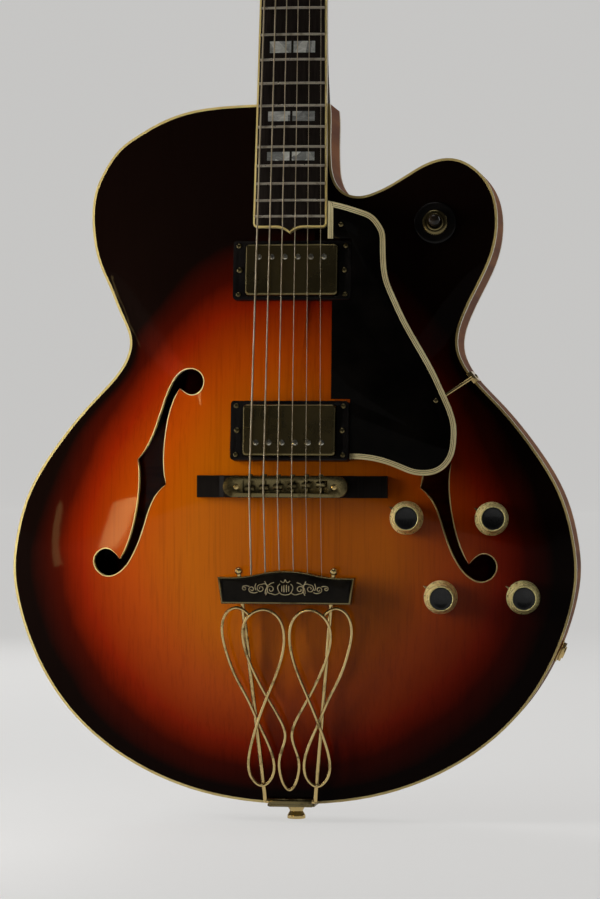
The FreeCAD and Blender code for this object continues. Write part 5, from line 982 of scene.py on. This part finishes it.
def make_knobs():
    """Four knobs with spun caps and a ring of numbers."""
    shell = turned("knob_pattern", KNOB_STEPS)
    cap = turned("cap_pattern", CAP_STEPS)
    numbers = []
    for value in range(NUMBER_TOP + 1):
        clear_selection()
        bpy.ops.object.text_add()
        digit = bpy.context.object
        digit.data.body = str(value)
        digit.data.size = NUMBER_SIZE
        digit.data.extrude = NUMBER_DEPTH
        digit.data.align_x = "CENTER"
        digit.data.align_y = "CENTER"
        bpy.ops.object.convert(target="MESH")
        turn = NUMBER_SWEEP * (value / NUMBER_TOP - 0.5)
        lean = Matrix.Rotation(NUMBER_TILT, 4, "X")
        out = Matrix.Translation((0, -NUMBER_RADIUS, NUMBER_HEIGHT))
        digit.data.transform(Matrix.Rotation(-turn, 4, "Z") @ out @ lean)
        numbers.append(digit)
    ring = joined("number_pattern", numbers)
    for number in range(1, KNOB_COUNT + 1):
        joint = JOINTS["knob_%d_turn" % number]
        seat = standing(Vector(joint["pos_m"]), Vector(joint["axis"]))
        body = "knob_%d" % number
        node = "control_knob_%d" % number
        dressed(copied(shell, "knob_shell_%d" % number, seat), KNOB_GOLD, body, "knob_gold", node)
        dressed(copied(cap, "knob_cap_%d" % number, seat), KNOB_CAP, body, "steel")
        dressed(copied(ring, "knob_numbers_%d" % number, seat), NUMBER_INK, body, "black_plastic")
    for pattern in (shell, cap, ring):
        discard(pattern)


def make_selector():
    """Selector with its washer, knurled collar and lever."""
    seat = standing(SELECTOR_PLACE, SELECTOR_WAY)
    washer = turned("washer_pattern", WASHER_STEPS)
    collar = turned("collar_pattern", COLLAR_STEPS + COLLAR_MOUTH_STEPS, COLLAR_SIDES)
    knurled(collar, *COLLAR_KNURL)
    lever = turned("lever_pattern", LEVER_STEPS)
    ring = copied(washer, "selector_ring", seat)
    dressed(ring, BLACK_PLASTIC, "guitar", "black_plastic", "selector_washer")
    dressed(copied(collar, "selector_collar", seat), BRONZE, "guitar", "gold", "selector_switch")
    dressed(copied(lever, "selector_tip", seat), LEVER_PLASTIC, "selector", "gold", "selector_lever")
    for pattern in (washer, collar, lever):
        discard(pattern)


def make_screws():
    """Slotted pole screws and the small screws of rings, guard, arm and cover."""
    pole = turned("pole_pattern", POLE_STEPS, SCREW_SIDES)
    slotted(pole, POLE_SLOT, POLE_SLOT_FLOOR, ONE_SLOT)
    head = turned("screw_pattern", SCREW_STEPS, SCREW_SIDES)
    slotted(head, SCREW_SLOT, SCREW_SLOT_FLOOR, CROSSED_SLOTS)
    poles = []
    screws = []
    for place, side in zip(PICKUP_PLACES, POLE_SIDES):
        seat = standing(place, PICKUP_WAY)
        for index in range(POLE_COUNT):
            across = POLE_SPAN * (index / (POLE_COUNT - 1) - 0.5)
            spot = seat @ Matrix.Translation((across, side * POLE_ROW, 0))
            turn = Matrix.Rotation(index * POLE_TURN + side, 4, "Z")
            poles.append(copied(pole, "pole", spot @ turn))
        for x, y, share in RING_SCREWS:
            for mirror in (-1, 1):
                spot = seat @ Matrix.Translation((mirror * x, y, -RING_DROP))
                turn = Matrix.Rotation((mirror * x + y) / MM, 4, "Z")
                screws.append(copied(head, "screw", spot @ turn @ Matrix.Scale(share, 4)))
    for place in GUARD_SCREWS:
        screws.append(copied(head, "screw", standing(place, GUARD_WAY)))
    screws.append(copied(head, "screw", standing(ARM_SCREW, ARM_WAY)))
    head_seat = standing(HEAD_PLACE, HEAD_WAY)
    for x, y in COVER_SCREWS:
        screws.append(copied(head, "screw", head_seat @ Matrix.Translation((x * MM, y * MM, COVER_FACE))))
    dressed(joined("slotted_poles", poles), NICKEL, "guitar", "gold", "pole_screws")
    dressed(joined("fixing_screws", screws), BRONZE, "guitar", "gold", "small_screws")
    discard(pole)
    discard(head)


def make_thumbwheels():
    """Knurled height wheels of the bridge on their slotted posts."""
    wheel = turned("wheel_pattern", THUMBWHEEL_STEPS, THUMBWHEEL_SIDES)
    knurled(wheel, *THUMBWHEEL_KNURL)
    post = turned("post_pattern", BRIDGE_POST_STEPS, SCREW_SIDES)
    slotted(post, BRIDGE_POST_SLOT, BRIDGE_POST_SLOT_FLOOR, BRIDGE_POST_SLOT_TURNS)
    pieces = []
    for place in THUMBWHEEL_PLACES:
        seat = standing(place, FRONT_WAY)
        pieces += [copied(wheel, "wheel", seat), copied(post, "post", seat)]
    dressed(joined("bridge_wheels", pieces), GOLD, "guitar", "gold", "bridge_thumbwheels")
    discard(wheel)
    discard(post)


def curl(centre, radius, begin, sweep):
    """Points of a curl that winds inwards about a centre."""
    count = round(abs(math.radians(sweep)) / CURL_STEP)
    points = []
    for number in range(count + 1):
        share = number / count
        angle = math.radians(begin + sweep * share)
        reach = radius * (1 - (1 - CURL_SHRINK) * share)
        points.append((centre[0] + reach * math.cos(angle), centre[1] + reach * math.sin(angle)))
    return points


def make_tail_bar():
    """Tail bar with a black panel on its face and raised scrolls on the panel."""
    bar = smoothed(from_node("tail_crossbar", "tail_bar"))
    panel = copied(bar, "tail_panel", Matrix.Identity(4))
    reach = BAR_FACE + FACE_GAP
    pick_faces(panel, lambda centre, normal, index: normal.y < -FRONT_SHARE and centre.y < reach)
    bpy.ops.mesh.select_all(action="INVERT")
    bpy.ops.mesh.delete(type="FACE")
    bpy.ops.mesh.select_all(action="SELECT")
    bpy.ops.mesh.inset(thickness=PANEL_MARGIN)
    bpy.ops.mesh.select_all(action="INVERT")
    bpy.ops.mesh.delete(type="FACE")
    bpy.ops.mesh.select_all(action="SELECT")
    bpy.ops.mesh.extrude_region_move(TRANSFORM_OT_translate={"value": (0, -PANEL_RISE, 0)})
    close_up(panel)
    lines = [list(stem) + curl(*rest) for stem, *rest in SCROLL_CURLS] + list(SCROLL_STROKES)
    drawing = new_lines("scroll_lines", SCROLL_RADIUS)
    drawing.resolution_u = SCROLL_STEPS
    front = BAR_FACE - PANEL_RISE - SCROLL_RADIUS + SCROLL_SINK
    for side in (-1, 1):
        for line in lines:
            spline = drawing.splines.new("BEZIER")
            spline.bezier_points.add(len(line) - 1)
            for knot, (across, above) in zip(spline.bezier_points, line):
                knot.co = (side * across * MM, front, SCROLL_HEIGHT + above * MM)
                knot.handle_left_type = "AUTO"
                knot.handle_right_type = "AUTO"
    scroll = piped("tail_scroll", drawing)
    dressed(bar, BRONZE, "guitar", "gold", "tail_crossbar")
    dressed(panel, PANEL_BLACK, "guitar", "black_plastic")
    dressed(scroll, PALE_GOLD, "guitar", "gold")


def front_border(piece):
    """The border of a piece's front faces as points in order, once round."""
    uses = {}
    for face in piece.data.polygons:
        if face.normal.y < -FRONT_SHARE:
            for pair in face.edge_keys:
                uses[pair] = uses.get(pair, 0) + 1
    links = {}
    for (first, second), count in uses.items():
        if count == 1:
            links.setdefault(first, []).append(second)
            links.setdefault(second, []).append(first)
    here = next(iter(links))
    order = [here]
    while True:
        onward = [number for number in links[here] if number not in order[-2:] + order[:1]]
        if not onward:
            return [piece.data.vertices[number].co.copy() for number in order]
        here = onward[0]
        order.append(here)


def drawn_in(points, normal, distance, inside):
    """A line of points moved sideways in its plane, towards a tree of faces."""
    moved = []
    for before, here, after in zip(points[:1] + points, points, points[1:] + points[-1:]):
        along = (after - before).normalized()
        side = along.cross(normal)
        run = (after - here) if after != here else (here - before)
        mitre = max(MITRE_LIMIT, abs(run.normalized().dot(along)))
        moved.append(here + side * (distance / mitre))
    other = [2 * here - there for here, there in zip(points, moved)]
    middle = len(points) // 2
    nearer = inside.find_nearest(moved[middle])[3] < inside.find_nearest(other[middle])[3]
    return moved if nearer else other


def make_guard_edge():
    """Edge of the finger rest in cream and black layers."""
    edge = smoothed(from_node("pickguard_binding", "guard_layers"))
    plate = NODES["pickguard"].data
    corners = [vertex.co for vertex in plate.vertices]
    inside = BVHTree.FromPolygons(corners, [face.vertices for face in plate.polygons])
    border = front_border(edge)
    free = [inside.find_nearest(point)[3] > BORDER_GAP for point in border]
    first = next(number for number in range(len(free)) if free[number] and not free[number - 1])
    border = border[first:] + border[:first]
    free = free[first:] + free[:first]
    outer = border[:free.index(False)]
    widest = max(half for _, half in PLY_LINES)
    drawing = new_lines("ply_lines", widest * MM)
    for distance, half in PLY_LINES:
        line = drawn_in(outer, GUARD_WAY, distance * MM, inside)
        spline = drawing.splines.new("POLY")
        spline.points.add(len(line) - 1)
        for knot, point in zip(spline.points, line):
            knot.co = (*(point + GUARD_WAY * (PLY_RISE - half * MM)), 1)
            knot.radius = half / widest
    plies = piped("guard_plies", drawing)
    dressed(edge, GUARD_EDGE, "guitar", "layered_edge", "pickguard_binding")
    dressed(plies, GUARD_PLASTIC, "guitar", "layered_edge")


def make_strings():
    """Strings smoothed to round wire."""
    piece = smoothed(from_node("strings", "round_strings"), STRING_SMOOTH_ANGLE)
    dressed(piece, STRING_WIRE, "guitar", "string_steel", "strings")


def make_floor():
    """Pale floor that sweeps up into the wall behind."""
    low = cad_box[0][2]
    clear_selection()
    bpy.ops.mesh.primitive_plane_add(size=2 * FLOOR_HALF, location=(0, FLOOR_REACH - FLOOR_HALF, low))
    floor = settle(bpy.context.object)
    floor.name = "studio_floor"
    edit_all(floor)
    bpy.ops.mesh.select_mode(type="EDGE")
    bpy.ops.mesh.select_all(action="DESELECT")
    bpy.ops.object.mode_set(mode="OBJECT")
    for edge in floor.data.edges:
        edge.select = all(floor.data.vertices[v].co.y > FLOOR_REACH - SWEEP_RADIUS for v in edge.vertices)
    bpy.ops.object.mode_set(mode="EDIT")
    bpy.ops.mesh.extrude_region_move(TRANSFORM_OT_translate={"value": (0, 0, WALL_HEIGHT)})
    bpy.ops.object.mode_set(mode="OBJECT")
    bevel = floor.modifiers.new("sweep", "BEVEL")
    bevel.width = SWEEP_RADIUS
    bevel.segments = SWEEP_SEGMENTS
    bevel.limit_method = "ANGLE"
    apply_modifier(floor, bevel)
    bpy.ops.object.shade_smooth()
    material, tree, shader = new_material("studio_paper", Roughness=PAPER_ROUGHNESS, Emission_Strength=1.0)
    tone = noise(tree, object_place(tree), *PAPER_CLOUDS)
    dip = tuple(PAPER_DIP * channel for channel in FLOOR_COLOUR[:3]) + (1,)
    paper = ramp(tree, tone, tuple(zip(PAPER_RANGE, (dip, FLOOR_COLOUR))))
    light = new_node(tree, "LightPath").outputs
    mirrored = math_node(tree, "MAXIMUM", light["Is Glossy Ray"], light["Is Transmission Ray"])
    seen = math_node(tree, "MAXIMUM", light["Is Camera Ray"], mirrored)
    feed(tree, blended(tree, seen, FLOOR_SHADE, paper), shader["Base Color"])
    feed(tree, blended(tree, seen, BLACK, FLOOR_GLOW), shader["Emission Color"])
    floor.data.materials.append(material)


def make_lights():
    """Soft lamps and a dim plain room."""
    for name, place, aim, width, height, power, colour, mirrored in LAMPS:
        clear_selection()
        bpy.ops.object.light_add(type="AREA", location=place)
        lamp = bpy.context.object
        lamp.name = name
        lamp.data.shape = "RECTANGLE"
        lamp.data.size = width
        lamp.data.size_y = height
        lamp.data.energy = power
        lamp.data.color = colour
        lamp.visible_glossy = mirrored
        lamp.rotation_euler = (Vector(aim) - Vector(place)).to_track_quat("-Z", "Y").to_euler()
    world = bpy.context.scene.world or bpy.data.worlds.new("room")
    bpy.context.scene.world = world
    world.use_nodes = True
    world.node_tree.nodes["Background"].inputs["Color"].default_value = WORLD_COLOUR


def make_camera():
    """A long lens, a little to the treble side."""
    turn = math.radians(CAMERA_TURN)
    back = Vector((math.sin(turn), -math.cos(turn), 0))
    clear_selection()
    bpy.ops.object.camera_add(location=AIM + back * CAMERA_DISTANCE)
    camera = bpy.context.object
    facing = (-back).to_track_quat("-Z", "Y").to_matrix().to_4x4()
    camera.rotation_euler = (facing @ Matrix.Rotation(math.radians(CAMERA_ROLL), 4, "Z")).to_euler()
    camera.data.lens = CAMERA_LENS
    camera.data.sensor_width = SENSOR
    bpy.context.scene.camera = camera


make_softened()
make_knobs()
make_selector()
make_screws()
make_thumbwheels()
make_tail_bar()
make_guard_edge()
make_strings()
make_floor()
make_lights()
make_camera()
bpy.context.scene.view_settings.view_transform = "Standard"
